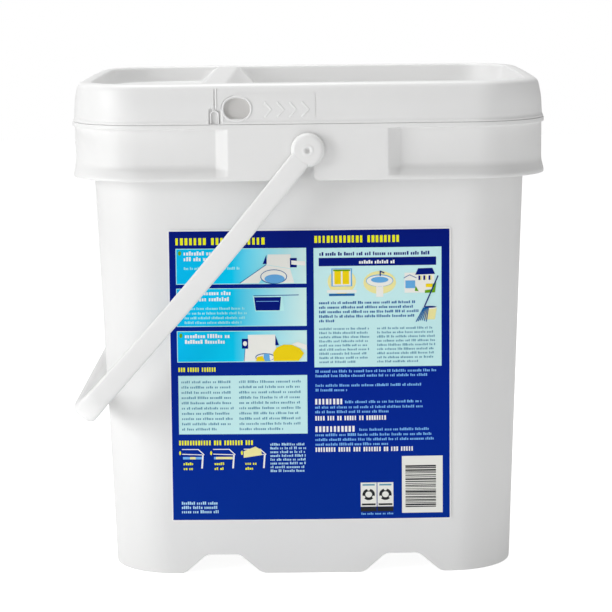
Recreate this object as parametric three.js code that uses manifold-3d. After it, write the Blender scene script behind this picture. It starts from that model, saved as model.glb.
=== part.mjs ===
// Rectangular lidded pail of laundry powder with a swinging handle and a printed label.
// Millimetres, +Z up, origin at the centre of the base, the label in the photo on the -Y face.

import * as THREE from "three";
import { mergeVertices } from "three/addons/utils/BufferGeometryUtils.js";
import Module from "manifold-3d";

const wasm = await Module();
wasm.setup();

// Outline shared by the pail and the lid: the flat sides bow outwards by the crown.
const CROWN_X = 2.0;
const CROWN_Y = 3.5;
const CORNER_STEPS = 6;
const SIDE_STEPS = 6;

// Skirt round the top of the pail, which sets the width and depth of all the rest.
const SKIRT_HALF_X = 176.3;
const SKIRT_HALF_Y = 142.4;
const SKIRT_RADIUS = 55;
const SKIRT_HEIGHT = 41;
const SKIRT_WALL = 2.4;

// Pail body, inside the skirt, tapering from the shelf under the lid down to the base.
const OVERHANG_X = 13.3;
const OVERHANG_Y = 19;
const TAPER_X = 11.4;
const TAPER_Y = 7.8;
const SHELF_HALF_X = SKIRT_HALF_X - OVERHANG_X;
const SHELF_HALF_Y = SKIRT_HALF_Y - OVERHANG_Y;
const BASE_HALF_X = SHELF_HALF_X - TAPER_X;
const BASE_HALF_Y = SHELF_HALF_Y - TAPER_Y;
const BODY_RADIUS = 45;
const SHELF_TOP = 341;
const SKIRT_BOTTOM = SHELF_TOP - SKIRT_HEIGHT;
const BASE_EDGE = 1.5;

// Foot: a wall standing round the recessed underside, with two notches in front and two behind.
const FOOT_WALL = 3;
const FOOT_RECESS = 16;
const NOTCH_CENTRE_X = 67.5;
const NOTCH_HALF_BOTTOM = 29.2;
const NOTCH_HALF_TOP = 12.35;
const NOTCH_HEIGHT = 14.6;
const NOTCH_CORNER = 4;

// Lip and ledge of the skirt, which stand out from its web.
const LIP_HEIGHT = 1.2;
const LIP_TOP = SKIRT_BOTTOM + LIP_HEIGHT;
const LIP_PROUD_X = 1.5;
const LIP_PROUD_Y = 7.5;
const WEB_HALF_X = SKIRT_HALF_X - LIP_PROUD_X;
const WEB_HALF_Y = SKIRT_HALF_Y - LIP_PROUD_Y;
const WEB_RADIUS = 50;
const FLARE_HEIGHT = 6.8;
const WEB_BOTTOM = SKIRT_BOTTOM + FLARE_HEIGHT;
const WEB_TOP = SHELF_TOP - SKIRT_WALL;
const LEDGE_STEP = 0.01;

// Ear blocks that carry the handle, with a keyhole slot open at the bottom.
const EAR_HALF_FACE = 58.2;
const EAR_HALF_ROOT = 66.7;
const EAR_WALL = 3;
const PIVOT_HEIGHT = 22;
const PIVOT_Z = SKIRT_BOTTOM + PIVOT_HEIGHT;
const PIN_RADIUS = 4.5;
const PIN_CLEARANCE = 0.5;
const SLOT_HALF = 4.2;
const SLOT_MOUTH = 3.5;

// Height of the lid, with its stepped panel: the fixed part and the flap lie below the rim.
const LID_HEIGHT = 29;
const LID_TOP = SHELF_TOP + LID_HEIGHT;
const FIXED_DEPTH = 12.5;
const FLAP_DEPTH = 15.5;
const PANEL = 2.2;

// Neck of the pail, which stands inside the channel of the lid, and the powder level in it.
const NECK_INSET_X = 9.3;
const NECK_INSET_Y = 8.8;
const NECK_HALF_X = SKIRT_HALF_X - NECK_INSET_X;
const NECK_HALF_Y = SKIRT_HALF_Y - NECK_INSET_Y;
const NECK_RADIUS = 42;
const NECK_WALL = 3;
const NECK_DROP = 4;
const NECK_TOP = LID_TOP - NECK_DROP;
const POWDER_CLEARANCE = 0.9;
const POWDER_TOP = LID_TOP - FLAP_DEPTH - PANEL - POWDER_CLEARANCE;

// Lid.
const LID_GAP = 0.3;
const LID_WALL = 2.4;
const RIM_INSET_X = 4.9;
const RIM_INSET_Y = 4.4;
const RIM_HALF_X = SKIRT_HALF_X - RIM_INSET_X;
const RIM_HALF_Y = SKIRT_HALF_Y - RIM_INSET_Y;
const RIM_RADIUS = 45;
const RIM_EDGE = 1.5;
const RIM_WIDTH = 10.3;
const BEAD_OUT_Y = 0.5;
const BEAD_HALF_X = SKIRT_HALF_X;
const BEAD_HALF_Y = SKIRT_HALF_Y + BEAD_OUT_Y;
const BEAD_HEIGHT = 3;
const BEAD_PROUD = 1.5;
const BEAD_SLOPE = 0.3;
const WAIST_DROP = 14;
const LID_WAIST_Z = LID_TOP - WAIST_DROP;
const LID_WAIST_OUT = 2.6;
const ROOF = 2.5;
const CHANNEL_TOP = LID_TOP - ROOF;
const CHANNEL_CLEARANCE = 0.7;
const CAVITY_RISE = 0.6;
const LID_CAVITY_TOP = POWDER_TOP + CAVITY_RISE;

// Recess in the top of the lid, crossed by the hinge bar between its fixed part and its flap.
const RECESS_DRAFT = 2;
const BAR_LEFT_FOOT = -81;
const BAR_LEFT_TOP = -72;
const BAR_RIGHT_TOP = -59;
const BAR_RIGHT_FOOT = -45;

// Tear band, ring pull and break tab on the front wall of the lid.
const GROOVE_DEPTH = 0.6;
const GROOVE_WIDTH = 0.9;
const SLIT = { x: -67, low: SHELF_TOP + 12.2, high: LID_TOP - 2.4 };
const BAND = { left: -61, right: 5.8, low: SHELF_TOP + 3.6, high: LID_TOP - 7 };
const RING = {
  x: -50.5, z: SHELF_TOP + 12.3, halfX: 11.1, halfZ: 8.4, wall: 3.2, proud: 0.9, sunk: 1.2,
};
const TAB = {
  x: -68.2, halfX: 4.2, low: SHELF_TOP + 3.9, high: SHELF_TOP + 11.5, wall: 1.4, proud: 0.6,
};

// Handle: a strap arm each side, and a thicker grip across, leaning on the left wall.
const ARM_CLEARANCE = 0.6;
const ARM_INNER_Y = BEAD_HALF_Y + ARM_CLEARANCE;
const ARM_THICKNESS = 5;
const ARM_HALF_WIDTH = 7.5;
const ARM_SQUARENESS = 5;
const GRIP_REACH = 253.5;
const GRIP_HALF_WIDTH = 10;
const GRIP_HALF_DEPTH = 6.5;
const GRIP_SQUARENESS = 2.4;
const GRIP_BEND = 18;
const WIDENING_LENGTH = 20;
const REST_GAP = 1.605245142;
const EYE_RADIUS = 12.25;
const EYE_THICKNESS = 6;
const DIMPLE_RADIUS = 2.7;
const DIMPLE_DEPTH = 2;
const HEAD_RADIUS = 5.6;
const HEAD_THICKNESS = 2;
const PIN_OVERLAP = 1;
const BEND_GRIP = 0.35;
const BEND_STEPS = 6;
const SECTION_STEPS = 16;

// Labels, front and back, each a film just clear of the wall.
const LABEL_MARGIN_X = 1.4;
const LABEL_HALF_X = BASE_HALF_X - CROWN_X - BODY_RADIUS - LABEL_MARGIN_X;
const LABEL_LOW = 42.5;
const LABEL_DROP = 38.6;
const LABEL_HIGH = SKIRT_BOTTOM - LABEL_DROP;
const LABEL_GAP = 0.3;
const LABEL_FILM = 0.4;
const LABEL_STEPS_X = 10;
const LABEL_STEPS_Z = 4;

const PAST = 2; // how far a cutter runs past the surface it cuts
const MERGE = 1e-4;
const ROUND_STEPS = 32;

const WHITE_PLASTIC = new THREE.MeshStandardMaterial({ color: 0xf0f1f2, roughness: 0.4 });
const BLUE_FILM = new THREE.MeshStandardMaterial({ color: 0x0a2f8f, roughness: 0.35 });

const mix = (a, b, t) => a + (b - a) * t;

// Half sizes of the body's outer wall at a height.
function bodyHalves(z) {
  const t = z / SHELF_TOP;
  return [mix(BASE_HALF_X, SHELF_HALF_X, t), mix(BASE_HALF_Y, SHELF_HALF_Y, t)];
}

// One closed ring of points, anticlockwise from above.
function ring(halfX, halfY, radius, z) {
  const flatX = halfX - CROWN_X;
  const flatY = halfY - CROWN_Y;
  const reachX = flatX - radius;
  const reachY = flatY - radius;
  const corners = [[1, 1], [-1, 1], [-1, -1], [1, -1]];
  const points = [];
  corners.forEach(([sx, sy], k) => {
    for (let i = 0; i <= CORNER_STEPS; i++) {
      const angle = (k + i / CORNER_STEPS) * Math.PI / 2;
      points.push([
        sx * reachX + radius * Math.cos(angle),
        sy * reachY + radius * Math.sin(angle),
      ]);
    }
    const [from] = points.slice(-1);
    const [nx, ny] = corners[(k + 1) % 4];
    const nextAngle = (k + 1) * Math.PI / 2;
    const to = [
      nx * reachX + radius * Math.cos(nextAngle),
      ny * reachY + radius * Math.sin(nextAngle),
    ];
    for (let i = 1; i < SIDE_STEPS; i++) {
      const t = i / SIDE_STEPS;
      points.push([mix(from[0], to[0], t), mix(from[1], to[1], t)]);
    }
  });
  return points.map(([x, y]) => [
    x * (1 + CROWN_X / flatX * (1 - (y / flatY) ** 2)),
    y * (1 + CROWN_Y / flatY * (1 - (x / flatX) ** 2)),
    z,
  ]);
}

// A closed body through rings of equal point counts, capped at both ends.
function loft(rings) {
  const count = rings[0].length;
  const position = rings.flat(2);
  const index = [];
  for (let r = 0; r + 1 < rings.length; r++) {
    for (let i = 0; i < count; i++) {
      const j = (i + 1) % count;
      const low = r * count;
      const high = low + count;
      index.push(low + i, low + j, high + j, low + i, high + j, high + i);
    }
  }
  for (const [r, flip] of [[0, true], [rings.length - 1, false]]) {
    const centre = [0, 1, 2].map((axis) => rings[r].reduce((sum, p) => sum + p[axis], 0) / count);
    const hub = position.length / 3;
    position.push(...centre);
    for (let i = 0; i < count; i++) {
      const a = r * count + i;
      const b = r * count + (i + 1) % count;
      index.push(...(flip ? [hub, b, a] : [hub, a, b]));
    }
  }
  const geometry = new THREE.BufferGeometry();
  geometry.setAttribute("position", new THREE.Float32BufferAttribute(position, 3));
  geometry.setIndex(index);
  return geometry;
}

// A three.js geometry as a solid for cutting and joining.
function solid(geometry) {
  const plain = geometry.index ? geometry.toNonIndexed() : geometry.clone();
  plain.deleteAttribute("normal");
  plain.deleteAttribute("uv");
  const merged = mergeVertices(plain, MERGE);
  const mesh = new wasm.Mesh({
    numProp: 3,
    vertProperties: merged.attributes.position.array,
    triVerts: new Uint32Array(merged.index.array),
  });
  return new wasm.Manifold(mesh);
}

// Rings given as [halfX, halfY, radius, z], lofted into a solid.
function shell(levels) {
  return solid(loft(levels.map((level) => ring(...level))));
}

// A shape drawn in x and z, pushed along y from the low to the high value.
function prism(shape, low, high) {
  const geometry = new THREE.ExtrudeGeometry(shape, {
    depth: high - low,
    bevelEnabled: false,
    curveSegments: 8,
  });
  geometry.rotateX(Math.PI / 2);
  geometry.translate(0, high, 0);
  return solid(geometry);
}

function polygon(points) {
  return new THREE.Shape(points.map(([x, z]) => new THREE.Vector2(x, z)));
}

function oval(x, z, halfX, halfZ) {
  const shape = new THREE.Shape();
  shape.absellipse(x, z, halfX, halfZ, 0, 2 * Math.PI);
  return shape;
}

function rectangle(left, right, low, high) {
  return polygon([[left, low], [right, low], [right, high], [left, high]]);
}

// A round bar along y between two values.
function barAlongY(radius, x, z, from, to) {
  const geometry = new THREE.CylinderGeometry(radius, radius, Math.abs(to - from), ROUND_STEPS);
  geometry.translate(x, (from + to) / 2, z);
  return solid(geometry);
}

function notchShape(centre) {
  const shape = new THREE.Shape();
  const slope = (NOTCH_HALF_BOTTOM - NOTCH_HALF_TOP) / NOTCH_HEIGHT;
  const corner = NOTCH_HEIGHT - NOTCH_CORNER;
  const side = NOTCH_HALF_BOTTOM - slope * corner;
  shape.moveTo(centre - NOTCH_HALF_BOTTOM - slope * PAST, -PAST);
  shape.lineTo(centre + NOTCH_HALF_BOTTOM + slope * PAST, -PAST);
  shape.lineTo(centre + side, corner);
  shape.quadraticCurveTo(
    centre + NOTCH_HALF_TOP, NOTCH_HEIGHT,
    centre + NOTCH_HALF_TOP - NOTCH_CORNER, NOTCH_HEIGHT,
  );
  shape.lineTo(centre - NOTCH_HALF_TOP + NOTCH_CORNER, NOTCH_HEIGHT);
  shape.quadraticCurveTo(centre - NOTCH_HALF_TOP, NOTCH_HEIGHT, centre - side, corner);
  return shape;
}

function keyholeShape() {
  const radius = PIN_RADIUS + PIN_CLEARANCE;
  const meet = Math.acos(SLOT_HALF / radius);
  const mouth = SKIRT_BOTTOM + SLOT_MOUTH;
  const wide = SLOT_HALF + SLOT_MOUTH;
  const shape = new THREE.Shape();
  shape.moveTo(-wide, SKIRT_BOTTOM - PAST);
  shape.lineTo(wide, SKIRT_BOTTOM - PAST);
  shape.lineTo(wide, SKIRT_BOTTOM);
  shape.quadraticCurveTo(SLOT_HALF, SKIRT_BOTTOM, SLOT_HALF, mouth);
  shape.absarc(0, PIVOT_Z, radius, -meet, Math.PI + meet, false);
  shape.lineTo(-SLOT_HALF, mouth);
  shape.quadraticCurveTo(-SLOT_HALF, SKIRT_BOTTOM, -wide, SKIRT_BOTTOM);
  return shape;
}

// The ear block's plan, drawn at the front and inset by a wall, standing over the skirt's height.
function earPrism(inset, low, high) {
  const face = EAR_HALF_FACE - inset;
  const root = EAR_HALF_ROOT - inset;
  const out = SKIRT_HALF_Y + PAST;
  const slope = (root - face) / (SKIRT_HALF_Y - WEB_HALF_Y);
  const plan = polygon([
    [-face + slope * PAST, out],
    [-root - slope * PAST, WEB_HALF_Y - PAST],
    [root + slope * PAST, WEB_HALF_Y - PAST],
    [face - slope * PAST, out],
  ]);
  const geometry = new THREE.ExtrudeGeometry(plan, { depth: high - low, bevelEnabled: false });
  geometry.translate(0, 0, low);
  const back = solid(geometry);
  const front = back.rotate([0, 0, 180]);
  return front.add(back);
}

function makeBody() {
  const level = (z, inset = 0) => {
    const [halfX, halfY] = bodyHalves(z);
    return [halfX - inset, halfY - inset, BODY_RADIUS - inset, z];
  };
  const outer = shell([level(0, BASE_EDGE), level(BASE_EDGE), level(SHELF_TOP)]);
  const [footX, footY] = bodyHalves(0);
  const inner = [footX - FOOT_WALL, footY - FOOT_WALL, BODY_RADIUS - FOOT_WALL];
  const recess = shell([[...inner, -PAST], [...inner, FOOT_RECESS]]);
  let body = outer.subtract(recess);
  for (const side of [-1, 1]) {
    const reach = BASE_HALF_Y + PAST;
    body = body.subtract(prism(notchShape(side * NOTCH_CENTRE_X), -reach, reach));
  }
  return body;
}

function makeSkirt() {
  const lip = [SKIRT_HALF_X, SKIRT_HALF_Y, SKIRT_RADIUS];
  const web = [WEB_HALF_X, WEB_HALF_Y, WEB_RADIUS];
  const inset = ([halfX, halfY, radius], by) => [halfX - by, halfY - by, radius - by];
  const outer = shell([
    [...lip, SKIRT_BOTTOM],
    [...lip, LIP_TOP],
    [...web, WEB_BOTTOM],
    [...web, WEB_TOP],
    [...lip, WEB_TOP + LEDGE_STEP],
    [...lip, SHELF_TOP],
  ]);
  const hollow = shell([
    [...inset(lip, SKIRT_WALL), SKIRT_BOTTOM - PAST],
    [...inset(lip, SKIRT_WALL), SKIRT_BOTTOM],
    [...inset(web, SKIRT_WALL), WEB_BOTTOM],
    [...inset(web, SKIRT_WALL), WEB_TOP],
  ]);
  const earOuter = shell([[...lip, SKIRT_BOTTOM], [...lip, WEB_TOP]])
    .intersect(earPrism(0, SKIRT_BOTTOM, WEB_TOP + LEDGE_STEP));
  const face = inset(lip, EAR_WALL);
  const earHollow = shell([[...face, SKIRT_BOTTOM - PAST], [...face, WEB_TOP]])
    .intersect(earPrism(EAR_WALL, SKIRT_BOTTOM - PAST, WEB_TOP));
  const keyhole = prism(keyholeShape(), -SKIRT_HALF_Y - PAST, SKIRT_HALF_Y + PAST);
  return outer.add(earOuter).subtract(hollow).subtract(earHollow).subtract(keyhole);
}

function makePail() {
  const neck = [NECK_HALF_X, NECK_HALF_Y, NECK_RADIUS];
  const bore = [NECK_HALF_X - NECK_WALL, NECK_HALF_Y - NECK_WALL, NECK_RADIUS - NECK_WALL];
  const collar = shell([[...neck, WEB_TOP], [...neck, NECK_TOP]])
    .subtract(shell([[...bore, POWDER_TOP], [...bore, NECK_TOP + PAST]]));
  return makeSkirt().add(makeBody()).add(collar);
}

// Levels of the lid's outer wall, moved out by a distance for what stands proud of it.
function lidWall(out) {
  const bottom = SHELF_TOP + LID_GAP;
  const skirtX = BEAD_HALF_X - BEAD_PROUD + out;
  const skirtY = BEAD_HALF_Y - BEAD_PROUD + out;
  return [
    [BEAD_HALF_X + out, BEAD_HALF_Y + out, SKIRT_RADIUS, bottom],
    [BEAD_HALF_X + out, BEAD_HALF_Y + out, SKIRT_RADIUS, bottom + BEAD_HEIGHT],
    [skirtX, skirtY, SKIRT_RADIUS - BEAD_PROUD, bottom + BEAD_HEIGHT + BEAD_SLOPE],
    [
      RIM_HALF_X + LID_WAIST_OUT + out, RIM_HALF_Y + LID_WAIST_OUT + out,
      mix(RIM_RADIUS, SKIRT_RADIUS, 0.5), LID_WAIST_Z,
    ],
    [RIM_HALF_X + out, RIM_HALF_Y + out, RIM_RADIUS, LID_TOP - RIM_EDGE],
    [RIM_HALF_X - RIM_EDGE + out, RIM_HALF_Y - RIM_EDGE + out, RIM_RADIUS - RIM_EDGE, LID_TOP],
  ];
}

// What lies above the lid's stepped panel, or below it when moved down by the panel's thickness.
function panelPrism(drop, end, endX) {
  const fixed = LID_TOP - FIXED_DEPTH - drop;
  const flap = LID_TOP - FLAP_DEPTH - drop;
  const top = LID_TOP - drop;
  const shift = drop / 2;
  const line = [
    [-RIM_HALF_X - PAST, fixed],
    [BAR_LEFT_FOOT + shift, fixed],
    [BAR_LEFT_TOP + shift, top],
    [BAR_RIGHT_TOP - shift, top],
    [BAR_RIGHT_FOOT - shift, flap],
    [endX, flap],
  ];
  const shape = polygon([...line, [endX, end], [-RIM_HALF_X - PAST, end]]);
  return prism(shape, -RIM_HALF_Y - PAST, RIM_HALF_Y + PAST);
}

function makeLid() {
  const outer = shell(lidWall(0));
  const bottom = SHELF_TOP - PAST;
  const seat = [BEAD_HALF_X - BEAD_PROUD - LID_WALL, BEAD_HALF_Y - BEAD_PROUD - LID_WALL];
  const roof = [RIM_HALF_X - LID_WALL, RIM_HALF_Y - LID_WALL, RIM_RADIUS - LID_WALL];
  const inward = NECK_WALL + CHANNEL_CLEARANCE;
  const core = [NECK_HALF_X - inward, NECK_HALF_Y - inward, NECK_RADIUS - inward];
  const cavity = shell([
    [...seat, SKIRT_RADIUS - LID_WALL, bottom],
    [...seat, SKIRT_RADIUS - LID_WALL, SHELF_TOP + LID_GAP + BEAD_HEIGHT],
    [...roof, LID_WAIST_Z + PAST],
    [...roof, CHANNEL_TOP],
  ]);
  const kept = shell([[...core, LID_CAVITY_TOP], [...core, LID_TOP]]);
  const underFixed = panelPrism(PANEL, LID_CAVITY_TOP - PAST, BAR_RIGHT_FOOT);
  const underside = cavity.subtract(kept).add(kept.intersect(underFixed));
  const rimInner = (by, z) => [
    RIM_HALF_X - RIM_WIDTH - by, RIM_HALF_Y - RIM_WIDTH - by, RIM_RADIUS - RIM_WIDTH, z,
  ];
  const well = shell([rimInner(RECESS_DRAFT, LID_TOP - FLAP_DEPTH), rimInner(0, LID_TOP + PAST)]);
  const recess = well.intersect(panelPrism(0, LID_TOP + PAST, RIM_HALF_X + PAST));
  return lidDetails(outer.subtract(underside).subtract(recess));
}

// The grooves of the tear band and the raised ring pull and tab, all on the front wall.
function lidDetails(lid) {
  const front = [-BEAD_HALF_Y - 2 * PAST, -RIM_HALF_Y + 2 * PAST];
  const deep = shell(lidWall(-GROOVE_DEPTH));
  const cut = (shape, floor) => prism(shape, ...front).subtract(floor);
  const proud = (shape, hole, out) => prism(shape, ...front)
    .subtract(prism(hole, ...front))
    .intersect(shell(lidWall(out)).subtract(shell(lidWall(-GROOVE_DEPTH))));
  const half = GROOVE_WIDTH / 2;
  const ringHole = oval(RING.x, RING.z, RING.halfX - RING.wall, RING.halfZ - RING.wall);
  const tabShape = (by) => {
    const shape = new THREE.Shape();
    const halfX = TAB.halfX - by;
    shape.moveTo(TAB.x - halfX, TAB.low);
    shape.lineTo(TAB.x + halfX, TAB.low);
    shape.lineTo(TAB.x + halfX, TAB.high - TAB.halfX);
    shape.absarc(TAB.x, TAB.high - TAB.halfX, halfX, 0, Math.PI, false);
    return shape;
  };
  return lid
    .subtract(cut(rectangle(SLIT.x - half, SLIT.x + half, SLIT.low, SLIT.high), deep))
    .subtract(cut(rectangle(BAND.left, BAND.right, BAND.high - half, BAND.high + half), deep))
    .subtract(cut(rectangle(BAND.right - half, BAND.right + half, BAND.low, BAND.high), deep))
    .subtract(cut(ringHole, shell(lidWall(-RING.sunk))))
    .add(proud(oval(RING.x, RING.z, RING.halfX, RING.halfZ), ringHole, RING.proud))
    .add(proud(tabShape(0), tabShape(TAB.wall), TAB.proud));
}

// A point of a rounded cross-section: square for the strap, nearly oval for the grip.
function sectionPoint(angle, halfWidth, halfDepth, squareness) {
  const power = 2 / squareness;
  const c = Math.cos(angle);
  const s = Math.sin(angle);
  return [
    halfWidth * Math.sign(c) * Math.abs(c) ** power,
    halfDepth * Math.sign(s) * Math.abs(s) ** power,
  ];
}

// Stations down one arm, round the bend and across the grip, hanging straight down from the pivot.
function handleStations() {
  const armY = ARM_INNER_Y + ARM_THICKNESS / 2;
  const bendStart = GRIP_REACH - GRIP_BEND;
  const half = [
    { y: -armY, r: 0, turn: 0, grip: 0 },
    { y: -armY, r: bendStart - WIDENING_LENGTH, turn: 0, grip: 0 },
  ];
  for (let i = 0; i <= BEND_STEPS; i++) {
    const turn = (i / BEND_STEPS) * Math.PI / 2;
    half.push({
      y: -armY + GRIP_BEND * (1 - Math.cos(turn)),
      r: bendStart + GRIP_BEND * Math.sin(turn),
      turn,
      grip: mix(BEND_GRIP, 1, i / BEND_STEPS),
    });
  }
  const mirrored = half.map((s) => ({ ...s, y: -s.y, turn: Math.PI - s.turn })).reverse();
  return [...half, ...mirrored];
}

// Angle in degrees at which the hanging handle's grip leans on the sloping left wall.
function restAngle() {
  const slope = (SHELF_HALF_X - BASE_HALF_X) / SHELF_TOP;
  const standoff = (GRIP_HALF_WIDTH + GRIP_HALF_DEPTH) / 2 + REST_GAP;
  const reach = BASE_HALF_X + slope * PIVOT_Z + standoff;
  const angle = Math.asin(reach / (GRIP_REACH * Math.hypot(1, slope))) - Math.atan(slope);
  return THREE.MathUtils.radToDeg(angle);
}

function makeHandle() {
  const rings = handleStations().map(({ y, r, turn, grip }) => {
    const halfWidth = mix(ARM_HALF_WIDTH, GRIP_HALF_WIDTH, grip);
    const halfDepth = mix(ARM_THICKNESS / 2, GRIP_HALF_DEPTH, grip);
    const squareness = mix(ARM_SQUARENESS, GRIP_SQUARENESS, grip);
    const points = [];
    for (let i = 0; i < SECTION_STEPS; i++) {
      const angle = (i + 0.5) / SECTION_STEPS * 2 * Math.PI;
      const [across, deep] = sectionPoint(angle, halfWidth, halfDepth, squareness);
      points.push([across, y - deep * Math.cos(turn), -r - deep * Math.sin(turn)]);
    }
    return points;
  });
  let handle = solid(loft(rings));
  const plateInner = SKIRT_HALF_Y - EAR_WALL;
  const headOuter = plateInner - PIN_CLEARANCE;
  for (const side of [-1, 1]) {
    const eyeOuter = ARM_INNER_Y + EYE_THICKNESS;
    handle = handle
      .add(barAlongY(EYE_RADIUS, 0, 0, side * ARM_INNER_Y, side * eyeOuter))
      .add(barAlongY(PIN_RADIUS, 0, 0, side * (ARM_INNER_Y + PIN_OVERLAP),
        side * (headOuter - PIN_OVERLAP)))
      .add(barAlongY(HEAD_RADIUS, 0, 0, side * headOuter, side * (headOuter - HEAD_THICKNESS)))
      .subtract(barAlongY(DIMPLE_RADIUS, 0, 0, side * (eyeOuter + PIN_OVERLAP),
        side * (eyeOuter - DIMPLE_DEPTH)));
  }
  return handle.rotate([0, restAngle(), 0]).translate([0, 0, PIVOT_Z]);
}

// Distance of the body's front wall from the middle plane, at x and z.
function wallY(x, z) {
  const [halfX, halfY] = bodyHalves(z);
  return halfY - CROWN_Y + CROWN_Y * (1 - (x / (halfX - CROWN_X)) ** 2);
}

function makeLabel(side) {
  const position = [];
  const index = [];
  const across = LABEL_STEPS_X + 1;
  const layer = across * (LABEL_STEPS_Z + 1);
  for (const off of [LABEL_GAP, LABEL_GAP + LABEL_FILM]) {
    for (let k = 0; k <= LABEL_STEPS_Z; k++) {
      for (let i = 0; i <= LABEL_STEPS_X; i++) {
        const x = mix(-LABEL_HALF_X, LABEL_HALF_X, i / LABEL_STEPS_X);
        const z = mix(LABEL_LOW, LABEL_HIGH, k / LABEL_STEPS_Z);
        position.push(-side * x, side * (wallY(x, z) + off), z);
      }
    }
  }
  const quad = (a, b, c, d) => index.push(a, b, c, a, c, d);
  for (let k = 0; k < LABEL_STEPS_Z; k++) {
    for (let i = 0; i < LABEL_STEPS_X; i++) {
      const a = k * across + i;
      quad(a + across, a + across + 1, a + 1, a);
      quad(layer + a, layer + a + 1, layer + a + across + 1, layer + a + across);
    }
  }
  const edge = [];
  for (let i = 0; i < LABEL_STEPS_X; i++) edge.push(i);
  for (let k = 0; k < LABEL_STEPS_Z; k++) edge.push(k * across + LABEL_STEPS_X);
  for (let i = LABEL_STEPS_X; i > 0; i--) edge.push(LABEL_STEPS_Z * across + i);
  for (let k = LABEL_STEPS_Z; k > 0; k--) edge.push(k * across);
  edge.forEach((a, n) => {
    const b = edge[(n + 1) % edge.length];
    quad(a, b, layer + b, layer + a);
  });
  const geometry = new THREE.BufferGeometry();
  geometry.setAttribute("position", new THREE.Float32BufferAttribute(position, 3));
  geometry.setIndex(index);
  return solid(geometry);
}

function meshOf(name, body, material) {
  const { numProp, vertProperties, triVerts } = body.getMesh();
  const position = new Float32Array((vertProperties.length / numProp) * 3);
  for (let v = 0; v < vertProperties.length / numProp; v++) {
    position.set(vertProperties.subarray(v * numProp, v * numProp + 3), v * 3);
  }
  const geometry = new THREE.BufferGeometry();
  geometry.setAttribute("position", new THREE.BufferAttribute(position, 3));
  geometry.setIndex(new THREE.BufferAttribute(triVerts, 1));
  geometry.computeVertexNormals();
  const mesh = new THREE.Mesh(geometry, material);
  mesh.name = name;
  return mesh;
}

const pack = new THREE.Group();
pack.name = "laundry_powder_pail";
pack.add(
  meshOf("pail", makePail(), WHITE_PLASTIC),
  meshOf("lid", makeLid(), WHITE_PLASTIC),
  meshOf("handle", makeHandle(), WHITE_PLASTIC),
  meshOf("back_label", makeLabel(-1), BLUE_FILM),
  meshOf("front_label", makeLabel(1), BLUE_FILM),
);

export default pack;
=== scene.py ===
# Looks of the laundry powder pail: smooth moulded surfaces, printed label, studio light, camera.
# Sizes are in millimetres and turned into metres where a mesh is made; the frame is the CAD frame.

import math
import random

import bmesh
import bpy
from mathutils import Matrix, Vector


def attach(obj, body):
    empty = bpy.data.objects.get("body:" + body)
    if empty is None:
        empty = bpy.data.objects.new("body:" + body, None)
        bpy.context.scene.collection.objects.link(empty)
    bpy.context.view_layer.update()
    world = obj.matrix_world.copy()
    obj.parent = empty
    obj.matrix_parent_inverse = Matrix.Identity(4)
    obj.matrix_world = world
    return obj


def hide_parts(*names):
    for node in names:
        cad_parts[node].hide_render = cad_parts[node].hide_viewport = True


MM = 0.001

# Outline shared by the pail and the lid.
CROWN_X = 2.0
CROWN_Y = 3.5
SIDE_STEPS = 10
CORNER_STEPS = 22
FEATURE_ZONE = 98.0

# Pail body.
BASE_HALF_X = 152.2
BASE_HALF_Y = 115.6
SHELF_HALF_X = 163.0
SHELF_HALF_Y = 123.4
BODY_RADIUS = 45.0
SHELF_TOP = 340.5
LEDGE_HEIGHT = 3.1

# Foot and its notches.
FOOT_WALL = 3.0
FOOT_RECESS = 16.0
FOOT_BLEND = 22.0
NOTCH_CENTRE_X = 67.5
NOTCH_HALF_BOTTOM = 29.2
NOTCH_HALF_TOP = 12.35
NOTCH_HEIGHT = 14.6
NOTCH_SOFTNESS = 2.6
NOTCH_REACH = 30.0

# Skirt.
SKIRT_HALF_X = 176.3
SKIRT_HALF_Y = 142.4
SKIRT_RADIUS = 55.0
SKIRT_BOTTOM = 299.6
SKIRT_WALL = 2.4
LIP_TOP = 301.9
WEB_HALF_X = 174.8
WEB_HALF_Y = 134.9
WEB_RADIUS = 50.0
WEB_BOTTOM = 309.0
WEB_TOP = SHELF_TOP - LEDGE_HEIGHT

# Ear blocks and their keyhole slots.
EAR_HALF_FACE = 58.2
EAR_HALF_ROOT = 66.7
EAR_WALL = 3.0
EAR_SOFTNESS = 0.8
PIVOT_Z = 322.0
PIN_RADIUS = 4.5
SLOT_HALF = 4.2
SLOT_MOUTH = 3.5
SLOT_TOP = 326.0
SLOT_REACH = 8.0

# Neck of the pail.
NECK_HALF_X = 167.0
NECK_HALF_Y = 133.6
NECK_RADIUS = 42.0
NECK_WALL = 3.0
NECK_TOP = 366.0
POWDER_TOP = 351.4

# Lid.
LID_TOP = 370.0
LID_GAP = 0.2
LID_WALL = 2.4
RIM_HALF_X = 171.4
RIM_HALF_Y = 138.0
RIM_RADIUS = 45.0
RIM_WIDTH = 10.3
RIM_SHOULDER = 5.0
RIM_FALL = 1.2
RIM_CROWN = 5.5
BEAD_HALF_X = 175.8
BEAD_HALF_Y = 142.4
BEAD_HEIGHT = 1.7
BEAD_PROUD = 0.9
LID_WAIST_Z = 356.0
LID_WAIST_OUT = 2.6
CHANNEL_TOP = 367.5
CHANNEL_CLEARANCE = 0.7
LID_CAVITY_TOP = POWDER_TOP + 0.6
RECESS_DRAFT = 2.0
RECESS_GUIDE = 9.0

# Height of the panel in the lid's recess along x: fixed part, hinge bar, flap.
FIXED_Z = 357.5
BAR_Z = 369.6
FLAP_Z = 354.5
PANEL_LINE = [
    (-200.0, FIXED_Z), (-89.4, FIXED_Z), (-75.0, BAR_Z), (-59.0, BAR_Z), (-45.0, FLAP_Z), (200.0, FLAP_Z),
]
PANEL_SOFTNESS = 1.2

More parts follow.
